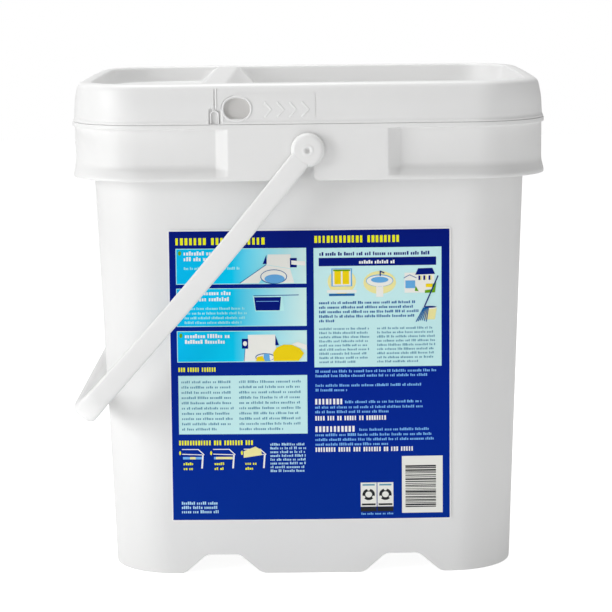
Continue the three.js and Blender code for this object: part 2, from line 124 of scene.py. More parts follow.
# Ring pull, tab and chevrons on the lid's front wall.
RING_CENTRE = (-50.9, 351.8)
RING_HOLE_X = 9.4
RING_HOLE_Z = 7.7
RING_HOLE_DEPTH = 3.4
RING_RIM = 1.8
RING_RIM_HEIGHT = 0.7
TAB_CENTRE = -67.1
TAB_HALF = 4.2
TAB_TOP = 352.1
TAB_DEPTH = 1.4
SEAM_TOP = 366.0
SEAM_DEPTH = 1.0
SEAM_LINE = 1.3
BAND_TOP = 362.8
BAND_END = 5.8
BAND_DEPTH = 0.2
CHEVRON_XS = (-31.0, -22.0, -13.0, -4.0)
CHEVRON_ZS = (345.6, 351.0, 356.4)
CHEVRON_LENGTH = 5.0

# Handle, leaning on the left wall.
ARM_INNER_Y = 143.5
ARM_THICKNESS = 5.0
ARM_HALF_WIDTH = 7.5
ARM_SQUARENESS = 5.0
GRIP_REACH = 254.0
GRIP_HALF_WIDTH = 10.0
GRIP_HALF_DEPTH = 7.1
GRIP_SQUARENESS = 2.4
GRIP_BEND = 18.0
ARM_BOW = 2.4
WIDENING = 0.25
HANDLE_AROUND = 40
EYE_AROUND = 72
TINY = 0.001
REST_ANGLE = 40.85
EYE_THICKNESS = 6.0
HEAD_RADIUS = 5.6
HEAD_GAP = 0.5
EYE_BLEND = 34.0

# Labels.
LABEL_HALF_X = 104.2
LABEL_LOW = 40.9
LABEL_HIGH = 262.0
LABEL_CORNER = 1.5
LABEL_BORDER = 1.0
LABEL_GAP = 0.3
LABEL_FILM = 0.4
FILM_COLUMNS = 26
FILM_CORNER_STEPS = 6
PRINT_STEP = 0.05
PRINT_SHINE = 0.04
PRINT_ROUGHNESS = 0.4
PRINT_COLUMN = 8.0
LABEL_SPREAD = 1.4
PRINT_SHIFT = 1.1
LEFT_COLUMN = (-97.3, -1.7)
RIGHT_COLUMN = (3.7, 97.3)
LIGHT_LEVEL = 0.82
BRIGHTEST_INK = 0.9

# Camera fitted to the photograph.
CAMERA_AT = (8.8, -1789.0, 461.8)
CAMERA_TILT = 0.153
CAMERA_YAW = 0.007
CAMERA_ROLL = -0.012
CAMERA_LENS = 134.4

# Light: ambient level, and the floor's own glow to the camera and to the object.
AMBIENT = 0.46
FLOOR_GLOW = 0.72
FLOOR_BOUNCE = 0.2

# Lamps: name, place, aim and size in metres, and power in watts.
LAMPS = (
    ("key_left", (-1.9, -1.1, 0.6), (0, 0, 0.15), (0.9, 1.0), 18.6),
    ("front_fill", (-0.4, -2.6, 0.25), (0, 0, 0.1), (1.6, 0.5), 5.0),
    ("right_fill", (2.2, -0.9, 0.5), (0, 0, 0.15), (1.0, 1.0), 3.6),
    ("top", (-0.3, 0.2, 2.0), (0, 0, 0.3), (1.4, 0.6), 23),
)

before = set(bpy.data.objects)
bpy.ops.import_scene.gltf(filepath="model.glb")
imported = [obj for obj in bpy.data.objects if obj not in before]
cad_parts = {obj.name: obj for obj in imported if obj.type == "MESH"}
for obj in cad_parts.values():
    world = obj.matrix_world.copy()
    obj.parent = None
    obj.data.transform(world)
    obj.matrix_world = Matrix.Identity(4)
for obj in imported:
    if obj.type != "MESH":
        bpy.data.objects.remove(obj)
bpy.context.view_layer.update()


def mix(a, b, t):
    return a + (b - a) * t


def soft_line(line, x, softness):
    """Height of a broken line at x, with its corners rounded by averaging over the softness."""
    total = 0.0
    samples = 7
    for n in range(samples):
        at = x + softness * (2.0 * n / (samples - 1) - 1.0)
        for (x0, z0), (x1, z1) in zip(line, line[1:]):
            if x0 <= at <= x1:
                total += mix(z0, z1, (at - x0) / (x1 - x0))
                break
    return total / samples


def rounded(levels, steps=4):
    """Levels (five numbers and a fillet size) with each corner turned into a short curve."""
    out = []
    for n, (*point, fillet) in enumerate(levels):
        if n == 0 or n == len(levels) - 1 or fillet == 0:
            out.append(tuple(point))
            continue
        here = Vector(point)
        before = Vector(levels[n - 1][:-1]) - here
        after = Vector(levels[n + 1][:-1]) - here
        start = here + before * min(0.45, fillet / before.length)
        end = here + after * min(0.45, fillet / after.length)
        for k in range(steps + 1):
            t = k / steps
            out.append(tuple(start * (1 - t) ** 2 + here * 2 * t * (1 - t) + end * t ** 2))
    return out


# Stations run from the middle of the left side along the front to the middle of the right side.
def half_stations(feature_xs):
    stations = []
    for n in range(SIDE_STEPS):
        stations.append(("side", -1, n / SIDE_STEPS))
    for n in range(CORNER_STEPS):
        stations.append(("corner", -1, n / CORNER_STEPS * math.pi / 2))
    stations.append(("front", -1, 1.0))
    stations.append(("front", -1, 0.5))
    for x in feature_xs:
        stations.append(("zone", 0, x))
    mirrored = [s for s in reversed(stations) if s[0] != "zone"]
    for kind, _, value in mirrored:
        stations.append((kind, 1, value))
    return stations


def station_xy(station, half_x, half_y, radius):
    kind, sign, value = station
    flat_x = half_x - CROWN_X
    flat_y = half_y - CROWN_Y
    reach_x = flat_x - radius
    reach_y = flat_y - radius
    if kind == "side":
        x, y = sign * flat_x, -reach_y * value
    elif kind == "corner":
        x = sign * (reach_x + radius * math.cos(value))
        y = -(reach_y + radius * math.sin(value))
    elif kind == "front":
        x, y = sign * mix(FEATURE_ZONE, reach_x, value), -flat_y
    else:
        x, y = value, -flat_y
    crowned_x = x * (1 + CROWN_X / flat_x * (1 - (y / flat_y) ** 2))
    crowned_y = y * (1 + CROWN_Y / flat_y * (1 - (x / flat_x) ** 2))
    return crowned_x, crowned_y


def front_y(x, half_x, half_y):
    """Distance of a crowned front wall from the middle plane, at x."""
    return half_y - CROWN_Y + CROWN_Y * (1 - (x / (half_x - CROWN_X)) ** 2)


def tube_faces(rings, around):
    """Faces of a tube through rings of points, with a cap on each end."""
    faces = []
    for r in range(rings - 1):
        low, high = r * around, (r + 1) * around
        for n in range(around):
            n2 = (n + 1) % around
            faces.append((low + n, low + n2, high + n2, high + n))
    last = (rings - 1) * around
    return faces + [tuple(reversed(range(around))), tuple(range(last, last + around))]


def append_shape(verts, faces, more_verts, more_faces):
    base = len(verts)
    verts.extend(more_verts)
    faces.extend(tuple(base + i for i in face) for face in more_faces)


def face_outward(mesh):
    build = bmesh.new()
    build.from_mesh(mesh)
    bmesh.ops.recalc_face_normals(build, faces=build.faces)
    build.to_mesh(mesh)
    build.free()


def closed_loft(levels, stations, move):
    """Vertices and faces of a closed surface through the levels, both ends zipped from front to back."""
    verts = []
    n_half = len(stations)
    count = 2 * n_half - 2
    for half_x, half_y, radius, z, ear_y in levels:
        front = []
        for station in stations:
            x, y = station_xy(station, half_x, half_y, radius)
            front.append(move(x, y, z, ear_y - half_y))
        back = [(x, -y, z) for x, y, z in reversed(front[1:-1])]
        verts.extend(front + back)
    faces = []
    for r in range(len(levels) - 1):
        low = r * count
        high = low + count
        for i in range(count):
            j = (i + 1) % count
            faces.append((low + i, low + j, high + j, high + i))
    for r, flip in ((0, True), (len(levels) - 1, False)):
        base = r * count
        for i in range(n_half - 1):
            i2 = (count - i) % count
            j2 = count - i - 1
            face = [base + i, base + i + 1, base + j2, base + i2]
            face = list(dict.fromkeys(face))
            faces.append(tuple(reversed(face)) if flip else tuple(face))
    return verts, faces


def add_object(name, data):
    obj = bpy.data.objects.new(name, data)
    bpy.context.scene.collection.objects.link(obj)
    return obj


def to_object(name, verts, faces, material, body="pail_body", smooth=True):
    """A mesh object from millimetres, with area-weighted normals and riding on a body."""
    mesh = bpy.data.meshes.new(name)
    mesh.from_pydata([(x * MM, y * MM, z * MM) for x, y, z in verts], [], faces)
    mesh.validate()
    obj = add_object(name, mesh)
    for polygon in mesh.polygons:
        polygon.use_smooth = smooth
    mesh.materials.append(material)
    if smooth:
        weighted = obj.modifiers.new("weighted", "WEIGHTED_NORMAL")
        weighted.keep_sharp = True
        weighted.weight = 80
    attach(obj, body)
    return obj


# Materials.
def link(tree, source, output, target, socket):
    tree.links.new(source.outputs[output], target.inputs[socket])


def node_material(name, roughness):
    material = bpy.data.materials.new(name)
    material.use_nodes = True
    tree = material.node_tree
    shader = tree.nodes["Principled BSDF"]
    shader.inputs["Roughness"].default_value = roughness
    return material, tree, shader


def noise(tree, scale):
    coords = tree.nodes.new("ShaderNodeTexCoord")
    texture = tree.nodes.new("ShaderNodeTexNoise")
    texture.inputs["Scale"].default_value = scale
    link(tree, coords, "Object", texture, "Vector")
    return texture


def vary_colour(tree, shader, texture, low, high):
    ramp = tree.nodes.new("ShaderNodeValToRGB")
    ramp.color_ramp.elements[0].position = 0.3
    ramp.color_ramp.elements[0].color = (*low, 1)
    ramp.color_ramp.elements[1].position = 0.7
    ramp.color_ramp.elements[1].color = (*high, 1)
    link(tree, texture, "Fac", ramp, "Fac")
    link(tree, ramp, "Color", shader, "Base Color")


def add_bump(tree, shader, layers):
    """Layers of (noise scale, distance in metres) as bump, one on another."""
    before = None
    for scale, distance in layers:
        texture = noise(tree, scale)
        bump = tree.nodes.new("ShaderNodeBump")
        bump.inputs["Strength"].default_value = 1.0
        bump.inputs["Distance"].default_value = distance
        link(tree, texture, "Fac", bump, "Height")
        if before:
            link(tree, before, "Normal", bump, "Normal")
        before = bump
    link(tree, before, "Normal", shader, "Normal")


def moulded_plastic(name, low, high, roughness):
    material, tree, shader = node_material(name, roughness)
    vary_colour(tree, shader, noise(tree, 9.0), low, high)
    add_bump(tree, shader, [(14.0, 0.0006), (900.0, 0.00001)])
    return material


PLASTIC = moulded_plastic("white_moulded_plastic", (0.80, 0.80, 0.795), (0.83, 0.83, 0.825), 0.42)
LID_PLASTIC = moulded_plastic("white_lid_plastic", (0.80, 0.80, 0.797), (0.825, 0.825, 0.82), 0.40)
# Darker plastic: painted shade, used only on the sheet behind the ring pull's hole.
PAINTED_SHADE_PLASTIC = moulded_plastic("painted_shade_plastic", (0.60, 0.59, 0.575), (0.64, 0.63, 0.62), 0.5)
HANDLE_PLASTIC = moulded_plastic("white_handle_plastic", (0.82, 0.82, 0.815), (0.85, 0.85, 0.845), 0.36)


# Pail.
def notch_lift(x):
    """Height of the foot's lower edge over the floor at x."""
    line = [
        (-200.0, 0.0),
        (NOTCH_CENTRE_X - NOTCH_HALF_BOTTOM, 0.0),
        (NOTCH_CENTRE_X - NOTCH_HALF_TOP, NOTCH_HEIGHT),
        (NOTCH_CENTRE_X + NOTCH_HALF_TOP, NOTCH_HEIGHT),
        (NOTCH_CENTRE_X + NOTCH_HALF_BOTTOM, 0.0),
        (400.0, 0.0),
    ]
    return soft_line(line, abs(x), NOTCH_SOFTNESS)


def slot_lift(x):
    """Height of the ear block's lower edge over the skirt's bottom at x: the keyhole slot."""
    out = abs(x)
    if out < SLOT_HALF:
        return SLOT_TOP - SKIRT_BOTTOM
    if out < SLOT_HALF + SLOT_MOUTH:
        across = SLOT_HALF + SLOT_MOUTH - out
        return SLOT_MOUTH - math.sqrt(max(0.0, SLOT_MOUTH ** 2 - across ** 2))
    return 0.0


def ear_share(x):
    """1 on the ear block's face, 0 beyond its sloped sides."""
    line = [(-200.0, 1.0), (EAR_HALF_FACE, 1.0), (EAR_HALF_ROOT, 0.0), (400.0, 0.0)]
    return soft_line(line, abs(x), EAR_SOFTNESS)


def move_pail(x, y, z, ear):
    y -= ear * ear_share(x)
    on_front = abs(x) < FEATURE_ZONE
    if z < FOOT_BLEND and on_front and y < -BASE_HALF_Y + NOTCH_REACH:
        z += notch_lift(x) * (1 - z / FOOT_BLEND)
    if SKIRT_BOTTOM - 0.01 <= z < WEB_TOP and on_front and y < -WEB_HALF_Y + SLOT_REACH:
        z += slot_lift(x) * (WEB_TOP - z) / (WEB_TOP - SKIRT_BOTTOM)
    return x, y, z


def body_halves(z):
    t = z / SHELF_TOP
    return mix(BASE_HALF_X, SHELF_HALF_X, t), mix(BASE_HALF_Y, SHELF_HALF_Y, t)


def level(half_x, half_y, radius, z, fillet, ear_y=None):
    return (half_x, half_y, radius, z, half_y if ear_y is None else ear_y, fillet)


def feature_xs():
    """Stations across the front where the notches, ear block and slot bend."""
    xs = set()
    for n in range(-49, 50):
        xs.add(round(n * 2.0, 3))
    for centre, reach, step in (
        (SLOT_HALF + SLOT_MOUTH / 2, SLOT_MOUTH / 2 + 0.6, 0.35),
        (EAR_HALF_FACE, 1.6, 0.4),
        (EAR_HALF_ROOT, 1.6, 0.4),
        (NOTCH_CENTRE_X - NOTCH_HALF_BOTTOM, 3.0, 0.5),
        (NOTCH_CENTRE_X - NOTCH_HALF_TOP, 3.0, 0.5),
        (NOTCH_CENTRE_X + NOTCH_HALF_TOP, 3.0, 0.5),
        (NOTCH_CENTRE_X + NOTCH_HALF_BOTTOM, 2.0, 0.5),
    ):
        for n in range(int(-reach / step), int(reach / step) + 1):
            x = round(centre + n * step, 3)
            if abs(x) <= FEATURE_ZONE:
                xs.update((x, -x))
    for x in (SLOT_HALF - 0.02, SLOT_HALF + 0.02):
        xs.update((x, -x))
    kept = []
    for x in sorted(xs):
        near_edge = min(abs(abs(x) - SLOT_HALF), 1) < 0.1
        if kept and x - kept[-1] < 0.15 and not near_edge:
            continue
        kept.append(x)
    return kept


def make_pail():
    foot_x, foot_y = body_halves(0)
    top_x, top_y = body_halves(WEB_TOP)
    inner = (foot_x - FOOT_WALL, foot_y - FOOT_WALL, BODY_RADIUS - FOOT_WALL)
    ear_in = SKIRT_HALF_Y - EAR_WALL
    lip_in = (SKIRT_HALF_X - SKIRT_WALL, SKIRT_HALF_Y - SKIRT_WALL, SKIRT_RADIUS - SKIRT_WALL)
    web_in = (WEB_HALF_X - SKIRT_WALL, WEB_HALF_Y - SKIRT_WALL, WEB_RADIUS - SKIRT_WALL)
    lip = (SKIRT_HALF_X, SKIRT_HALF_Y, SKIRT_RADIUS)
    web = (WEB_HALF_X, WEB_HALF_Y, WEB_RADIUS)
    neck = (NECK_HALF_X, NECK_HALF_Y, NECK_RADIUS)
    bore = (NECK_HALF_X - NECK_WALL, NECK_HALF_Y - NECK_WALL, NECK_RADIUS - NECK_WALL)
    levels = rounded([
        level(inner[0] - 12, inner[1] - 12, inner[2] - 12, FOOT_RECESS, 0),
        level(*inner, FOOT_RECESS, 2),
        level(*inner, 0, 0.9),
        level(foot_x, foot_y, BODY_RADIUS, 0, 1.6),
        level(*body_halves(FOOT_BLEND), BODY_RADIUS, FOOT_BLEND, 0),
        level(top_x, top_y, BODY_RADIUS, WEB_TOP, 2),
        level(*web_in, WEB_TOP, 1, ear_in),
        level(*web_in, WEB_BOTTOM, 1, ear_in),
        level(*lip_in, LIP_TOP, 0.6, ear_in),
        level(*lip_in, SKIRT_BOTTOM, 0.5, ear_in),
        level(*lip, SKIRT_BOTTOM, 0.9, SKIRT_HALF_Y),
        level(*lip, LIP_TOP, 1.6, SKIRT_HALF_Y),
        level(*web, WEB_BOTTOM, 3.0, SKIRT_HALF_Y),
        level(*web, WEB_TOP, 2.0, SKIRT_HALF_Y),
        level(*lip, WEB_TOP, 0.6, SKIRT_HALF_Y),
        level(*lip, SHELF_TOP, 0.8, SKIRT_HALF_Y),
        level(*neck, SHELF_TOP, 1),
        level(*neck, NECK_TOP, 0.8),
        level(*bore, NECK_TOP, 0.8),
        level(*bore, POWDER_TOP, 0),
    ])
    verts, faces = closed_loft(levels, half_stations(feature_xs()), move_pail)
    pail = to_object("pail_moulding", verts, faces, PLASTIC)
    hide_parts("pail")
    return pail


# Lid.
def panel_height(x):
    return soft_line(PANEL_LINE, x, PANEL_SOFTNESS)


def lid_xs():
    xs = [n * 4.0 for n in range(-24, 25)]
    for centre, _ in PANEL_LINE[1:-1]:
        xs.extend(centre + n * 0.5 for n in range(-5, 6))
    kept = []
    for x in sorted(xs):
        if not kept or x - kept[-1] > 0.3:
            kept.append(x)
    return kept


def lid_wall():
    """Levels of the lid's outer wall from the bead to the crowned rim."""
    bottom = SHELF_TOP + LID_GAP
    wall_x = BEAD_HALF_X - BEAD_PROUD
    wall_y = BEAD_HALF_Y - BEAD_PROUD
    return [
        level(BEAD_HALF_X, BEAD_HALF_Y, SKIRT_RADIUS, bottom, 0.5),
        level(BEAD_HALF_X, BEAD_HALF_Y, SKIRT_RADIUS, bottom + BEAD_HEIGHT - 0.6, 0.7),
        level(wall_x, wall_y, SKIRT_RADIUS - BEAD_PROUD, bottom + BEAD_HEIGHT + 0.8, 1.6),
        level(RIM_HALF_X + LID_WAIST_OUT, RIM_HALF_Y + LID_WAIST_OUT,
              mix(RIM_RADIUS, SKIRT_RADIUS, 0.5), LID_WAIST_Z, 4),
        level(RIM_HALF_X, RIM_HALF_Y, RIM_RADIUS, LID_TOP - RIM_FALL, RIM_SHOULDER),
        level(RIM_HALF_X - RIM_CROWN, RIM_HALF_Y - RIM_CROWN, RIM_RADIUS - RIM_CROWN, LID_TOP, 3),
    ]


def keep_place(x, y, z, _):
    return x, y, z


def make_lid():
    seat_x = BEAD_HALF_X - BEAD_PROUD - LID_WALL
    seat_y = BEAD_HALF_Y - BEAD_PROUD - LID_WALL
    seat_r = SKIRT_RADIUS - LID_WALL
    roof = (RIM_HALF_X - LID_WALL, RIM_HALF_Y - LID_WALL, RIM_RADIUS - LID_WALL)
    inward = NECK_WALL + CHANNEL_CLEARANCE
    core = (NECK_HALF_X - inward, NECK_HALF_Y - inward, NECK_RADIUS - inward)
    rim_in = (RIM_HALF_X - RIM_WIDTH, RIM_HALF_Y - RIM_WIDTH, RIM_RADIUS - RIM_WIDTH)
    bottom = SHELF_TOP + LID_GAP
    levels = rounded([
        level(*core, LID_CAVITY_TOP, 0),
        level(*core, CHANNEL_TOP, 1),
        level(*roof, CHANNEL_TOP, 1),
        level(*roof, LID_WAIST_Z + 2, 1),
        level(seat_x, seat_y, seat_r, bottom + BEAD_HEIGHT, 1),
        level(seat_x, seat_y, seat_r, bottom, 0.5),
        *lid_wall(),
        level(*rim_in, LID_TOP - 0.2, 2.2),
        level(rim_in[0] - RECESS_DRAFT, rim_in[1] - RECESS_DRAFT, rim_in[2], LID_TOP - RECESS_GUIDE, 0),
    ])
    # The lowest level only guides the rim's inner curve; the recess wall, whose foot follows
    # the panel's height along x, takes its place.
    levels.pop()
    before = len(levels)
    drop_steps = [0.35, 0.7, 0.88, 0.96, 1.0, 1.0, 1.0]
    insets = [0.7, 1.3, 1.7, 2.0, 2.6, 3.6, 12.0]
    for inset in insets:
        levels.append((rim_in[0] - inset, rim_in[1] - inset, max(rim_in[2] - inset * 0.6, 8.0), 0.0, 0.0))
    stations = half_stations(lid_xs())
    verts, faces = closed_loft(levels, stations, keep_place)
    count = 2 * len(stations) - 2
    z_top = levels[before - 1][3]
    for k, drop in enumerate(drop_steps):
        for i in range(count):
            index = (before + k) * count + i
            x, y, _ = verts[index]
            verts[index] = (x, y, mix(z_top, panel_height(x), drop))
    lid = to_object("lid_moulding", verts, faces, LID_PLASTIC)
    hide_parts("lid")
    return lid


def lid_front(x, z):
    """Distance of the lid's front wall from the middle plane, at x and z."""
    bottom = SHELF_TOP + LID_GAP + BEAD_HEIGHT + 0.5
    skirt_x, skirt_y = BEAD_HALF_X - BEAD_PROUD, BEAD_HALF_Y - BEAD_PROUD
    waist_x, waist_y = RIM_HALF_X + LID_WAIST_OUT, RIM_HALF_Y + LID_WAIST_OUT
    if z < LID_WAIST_Z:
        t = max(0.0, (z - bottom) / (LID_WAIST_Z - bottom))
        half_x, half_y = mix(skirt_x, waist_x, t), mix(skirt_y, waist_y, t)
    else:
        t = (z - LID_WAIST_Z) / (LID_TOP - RIM_FALL - LID_WAIST_Z)
        half_x, half_y = mix(waist_x, RIM_HALF_X, t), mix(waist_y, RIM_HALF_Y, t)
    return front_y(x, half_x, half_y)


def sweep(path, closed, width, height, sink):
    """A soft raised line of round section along a path of (x, z) on the lid's front wall."""
    steps = 8
    verts, faces = [], []
    count = len(path)
    for n, (x, z) in enumerate(path):
        before = path[n - 1] if closed or n > 0 else path[n]
        after = path[(n + 1) % count] if closed or n < count - 1 else path[n]
        along = Vector((after[0] - before[0], after[1] - before[1])).normalized()
        side = Vector((along.y, -along.x))
        base = lid_front(x, z)
        for k in range(steps):
            angle = k / (steps - 1) * math.pi
            across = math.cos(angle) * width / 2
            out = math.sin(angle) * height
            if k in (0, steps - 1):
                out = -sink
            verts.append((x + side.x * across, -(base + out), z + side.y * across))
    spans = count if closed else count - 1
    for n in range(spans):
        low, high = n * steps, ((n + 1) % count) * steps
        for k in range(steps):
            k2 = (k + 1) % steps
            faces.append((low + k, low + k2, high + k2, high + k))
    if not closed:
        faces.append(tuple(reversed(range(steps))))
        faces.append(tuple(range((count - 1) * steps, count * steps)))
    return verts, faces


def oval_path(x, z, half_x, half_z, start=0.0, end=360.0, steps=64, power=2.0):
    """Points round an oval; a power over 2 makes it squarer."""
    points = []
    for n in range(steps):
        angle = math.radians(mix(start, end, n / (steps if end - start == 360.0 else steps - 1)))
        c, s = math.cos(angle), math.sin(angle)
        points.append((
            x + half_x * math.copysign(abs(c) ** (2 / power), c),
            z + half_z * math.copysign(abs(s) ** (2 / power), s),
        ))
    return points


def cutter_prism(loop, depth, out=3.0):
    """A closed prism through the lid's front wall over a loop of (x, z), its floor at a depth under it."""
    verts, faces = [], []
    count = len(loop)
    for x, z in loop:
        verts.append((x, -(lid_front(x, z) + out), z))
    for x, z in loop:
        verts.append((x, -(lid_front(x, z) - depth), z))
    faces.append(tuple(range(count)))
    faces.append(tuple(reversed(range(count, 2 * count))))
    for n in range(count):
        n2 = (n + 1) % count
        faces.append((n2, n, n + count, n2 + count))
    return verts, faces


def cut_from(obj, cutters):
    """Cuts closed shapes out of an object, and keeps the result as its mesh."""
    verts, faces = [], []
    for cutter in cutters:
        append_shape(verts, faces, *cutter)
    mesh = bpy.data.meshes.new("cutters")
    mesh.from_pydata([(x * MM, y * MM, z * MM) for x, y, z in verts], [], faces)
    face_outward(mesh)
    tool = add_object("cutters", mesh)
    cut = obj.modifiers.new("cut", "BOOLEAN")
    cut.operation = "DIFFERENCE"
    cut.solver = "EXACT"
    cut.use_self = True
    cut.object = tool
    obj.modifiers.move(len(obj.modifiers) - 1, 0)
    weighted = obj.modifiers["weighted"]
    weighted.show_viewport = False
    graph = bpy.context.evaluated_depsgraph_get()
    baked = bpy.data.meshes.new_from_object(obj.evaluated_get(graph))
    obj.modifiers.remove(obj.modifiers["cut"])
    weighted.show_viewport = True
    obj.data = baked
    bpy.data.objects.remove(tool)


def sharpen(obj, degrees):
    """Marks edges sharper than an angle, so that small cut edges stay crisp."""
    build = bmesh.new()
    build.from_mesh(obj.data)
    for edge in build.edges:
        if len(edge.link_faces) == 2 and edge.calc_face_angle() > math.radians(degrees):
            edge.smooth = False
    build.to_mesh(obj.data)
    build.free()


def rectangle(left, right, low, high):
    return [(left, low), (right, low), (right, high), (left, high)]


def ring_hole():
    """The ring pull's hole: an oval with a flatter bottom."""
    x, z = RING_CENTRE
    low = z - RING_HOLE_Z * 0.93
    return [(px, max(pz, low)) for px, pz in oval_path(x, z, RING_HOLE_X, RING_HOLE_Z, power=2.25)]


def fine_path(points, steps=6):
    path = []
    for (x0, z0), (x1, z1) in zip(points, points[1:]):
        path.extend((mix(x0, x1, k / steps), mix(z0, z1, k / steps)) for k in range(steps))
    return path + [points[-1]]


def add_lid_details(lid):
    """Ring pull, break tab, tear-band seams and embossed chevrons on the lid's front wall."""
    ring_x, ring_z = RING_CENTRE
    low = SHELF_TOP + LID_GAP + 0.4
    rim_x, rim_z = RING_HOLE_X + RING_RIM, RING_HOLE_Z + RING_RIM
    gap = oval_path(ring_x, ring_z, rim_x + 0.5, rim_z + 0.5, 102.0, 178.0, steps=14)
    gap += oval_path(ring_x, ring_z, rim_x - 0.2, rim_z - 0.2, 178.0, 102.0, steps=14)
    seam = rectangle(TAB_CENTRE - 0.5, TAB_CENTRE + 0.3, TAB_TOP - 0.5, SEAM_TOP)
    tab_field = rectangle(TAB_CENTRE - TAB_HALF, TAB_CENTRE + TAB_HALF, low, TAB_TOP)
    cut_from(lid, [
        cutter_prism(ring_hole(), RING_HOLE_DEPTH),
        cutter_prism(gap, 0.9),
        cutter_prism(seam, SEAM_DEPTH),
        cutter_prism(tab_field, TAB_DEPTH),
        cutter_prism(rectangle(ring_x, BAND_END, BAND_TOP - 0.25, BAND_TOP + 0.15), BAND_DEPTH),
        cutter_prism(rectangle(BAND_END - 0.2, BAND_END + 0.2, low + 3.0, BAND_TOP), BAND_DEPTH),
    ])
    sharpen(lid, 38)
    rim = oval_path(ring_x, ring_z, RING_HOLE_X + RING_RIM / 2, RING_HOLE_Z + RING_RIM / 2, power=2.2)
    leg_x = ring_x - RING_HOLE_X - RING_RIM / 2
    tab = [(TAB_CENTRE - 2.8, low), (TAB_CENTRE - 2.8, TAB_TOP - 4.6)]
    tab += oval_path(TAB_CENTRE, TAB_TOP - 4.4, 2.8, 2.6, 180.0, 0.0, steps=16)
    tab += [(TAB_CENTRE + 2.8, TAB_TOP - 4.6), (TAB_CENTRE + 2.8, low)]
    leg = fine_path([(leg_x, low + 0.6), (leg_x, ring_z)])
    ridge_x = TAB_CENTRE + 1.2
    ridge = fine_path([(ridge_x, TAB_TOP), (ridge_x, SEAM_TOP + 0.4)])
    pieces = [
        ("ring_pull_rim", sweep(rim, True, RING_RIM, RING_RIM_HEIGHT, 0.4)),
        ("ring_pull_leg", sweep(leg, False, RING_RIM, RING_RIM_HEIGHT, 0.4)),
        ("break_tab", sweep(tab, False, SEAM_LINE, 0.3, TAB_DEPTH)),
        ("seam_ridge", sweep(ridge, False, SEAM_LINE, 0.5, 0.2)),
    ]
    # A darker sheet just behind the ring pull's hole: painted shade that stands in for the shaded neck
    # seen through the hole.
    behind = oval_path(ring_x, ring_z, RING_HOLE_X + 1.0, RING_HOLE_Z + 1.0)
    painted_shade_sheet = to_object("painted_shade_behind_ring", *cutter_prism(behind, 2.3, out=-2.1), PAINTED_SHADE_PLASTIC)
    low_z, tip_z, high_z = CHEVRON_ZS
    for n, x in enumerate(CHEVRON_XS):
        path = fine_path([(x, low_z), (x + CHEVRON_LENGTH, tip_z), (x, high_z)])
        pieces.append((f"chevron_{n + 1}", sweep(path, False, 1.6, 0.28, 0.2)))
    for name, (verts, faces) in pieces:
        piece = to_object(name, verts, faces, LID_PLASTIC)


# Handle.
def section(angle, half_width, half_depth, squareness):
    power = 2 / squareness
    c, s = math.cos(angle), math.sin(angle)
    return (
        half_width * math.copysign(abs(c) ** power, c),
        half_depth * math.copysign(abs(s) ** power, s),
    )


def handle_half():
    """Stations (y, reach, turn, grip share) from the eye down one arm to the middle of the grip."""
    arm_y = ARM_INNER_Y + ARM_THICKNESS / 2
    start = GRIP_REACH - GRIP_BEND
    stations = []
    for n in range(30):
        t = n / 30
        stations.append((-arm_y, 2 + (start - 2) * t, 0.0, WIDENING * max(0.0, (t - 0.75) / 0.25)))
    for n in range(17):
        t = n / 16
        turn = t * math.pi / 2
        y = -arm_y + GRIP_BEND * (1 - math.cos(turn))
        stations.append((y, start + GRIP_BEND * math.sin(turn), turn, mix(WIDENING, 1.0, t)))
    for n in range(1, 12):
        y = mix(-arm_y + GRIP_BEND, 0.0, n / 12)
        stations.append((y, GRIP_REACH, math.pi / 2, 1.0))
    return stations


def eye_share(reach):
    """1 beside the eye, falling to 0 along the arm, so that the arm's face runs into the eye's."""
    t = min(1.0, max(0.0, (reach - 12.0) / EYE_BLEND))
    return 1.0 - t * t * (3.0 - 2.0 * t)


def make_handle():
    half = handle_half()
    middle = [(0.0, GRIP_REACH, math.pi / 2, 1.0)]
    mirrored = [(-y, r, math.pi - turn, grip) for y, r, turn, grip in reversed(half)]
    rings = []
    for y, reach, turn, grip in half + middle + mirrored:
        half_width = mix(ARM_HALF_WIDTH, GRIP_HALF_WIDTH, grip)
        half_depth = mix(ARM_THICKNESS / 2, GRIP_HALF_DEPTH, grip)
        thicker = (EYE_THICKNESS - 0.35 - ARM_THICKNESS) / 2 * eye_share(reach)
        half_depth += thicker
        y += math.copysign(thicker, y) if grip == 0 else 0.0
        squareness = mix(ARM_SQUARENESS, GRIP_SQUARENESS, grip)
        bow = ARM_BOW * math.sin(math.pi * reach / GRIP_REACH)
        ring = []
        for n in range(HANDLE_AROUND):
            across, deep = section(n / HANDLE_AROUND * 2 * math.pi, half_width, half_depth, squareness)
            ring.append((across + bow, y - deep * math.cos(turn), -reach - deep * math.sin(turn)))
        rings.append(ring)
    verts = [p for ring in rings for p in ring]
    faces = tube_faces(len(rings), HANDLE_AROUND)
    for side in (-1, 1):
        append_shape(verts, faces, *eye(side))
    turn = Matrix.Rotation(math.radians(REST_ANGLE), 4, "Y")
    placed = []
    for point in verts:
        x, y, z = turn @ Vector(point)
        placed.append((x, y, z + PIVOT_Z))
    handle = to_object("handle_moulding", placed, faces, HANDLE_PLASTIC, body="handle_body")
    face_outward(handle.data)
    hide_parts("handle")
    return handle


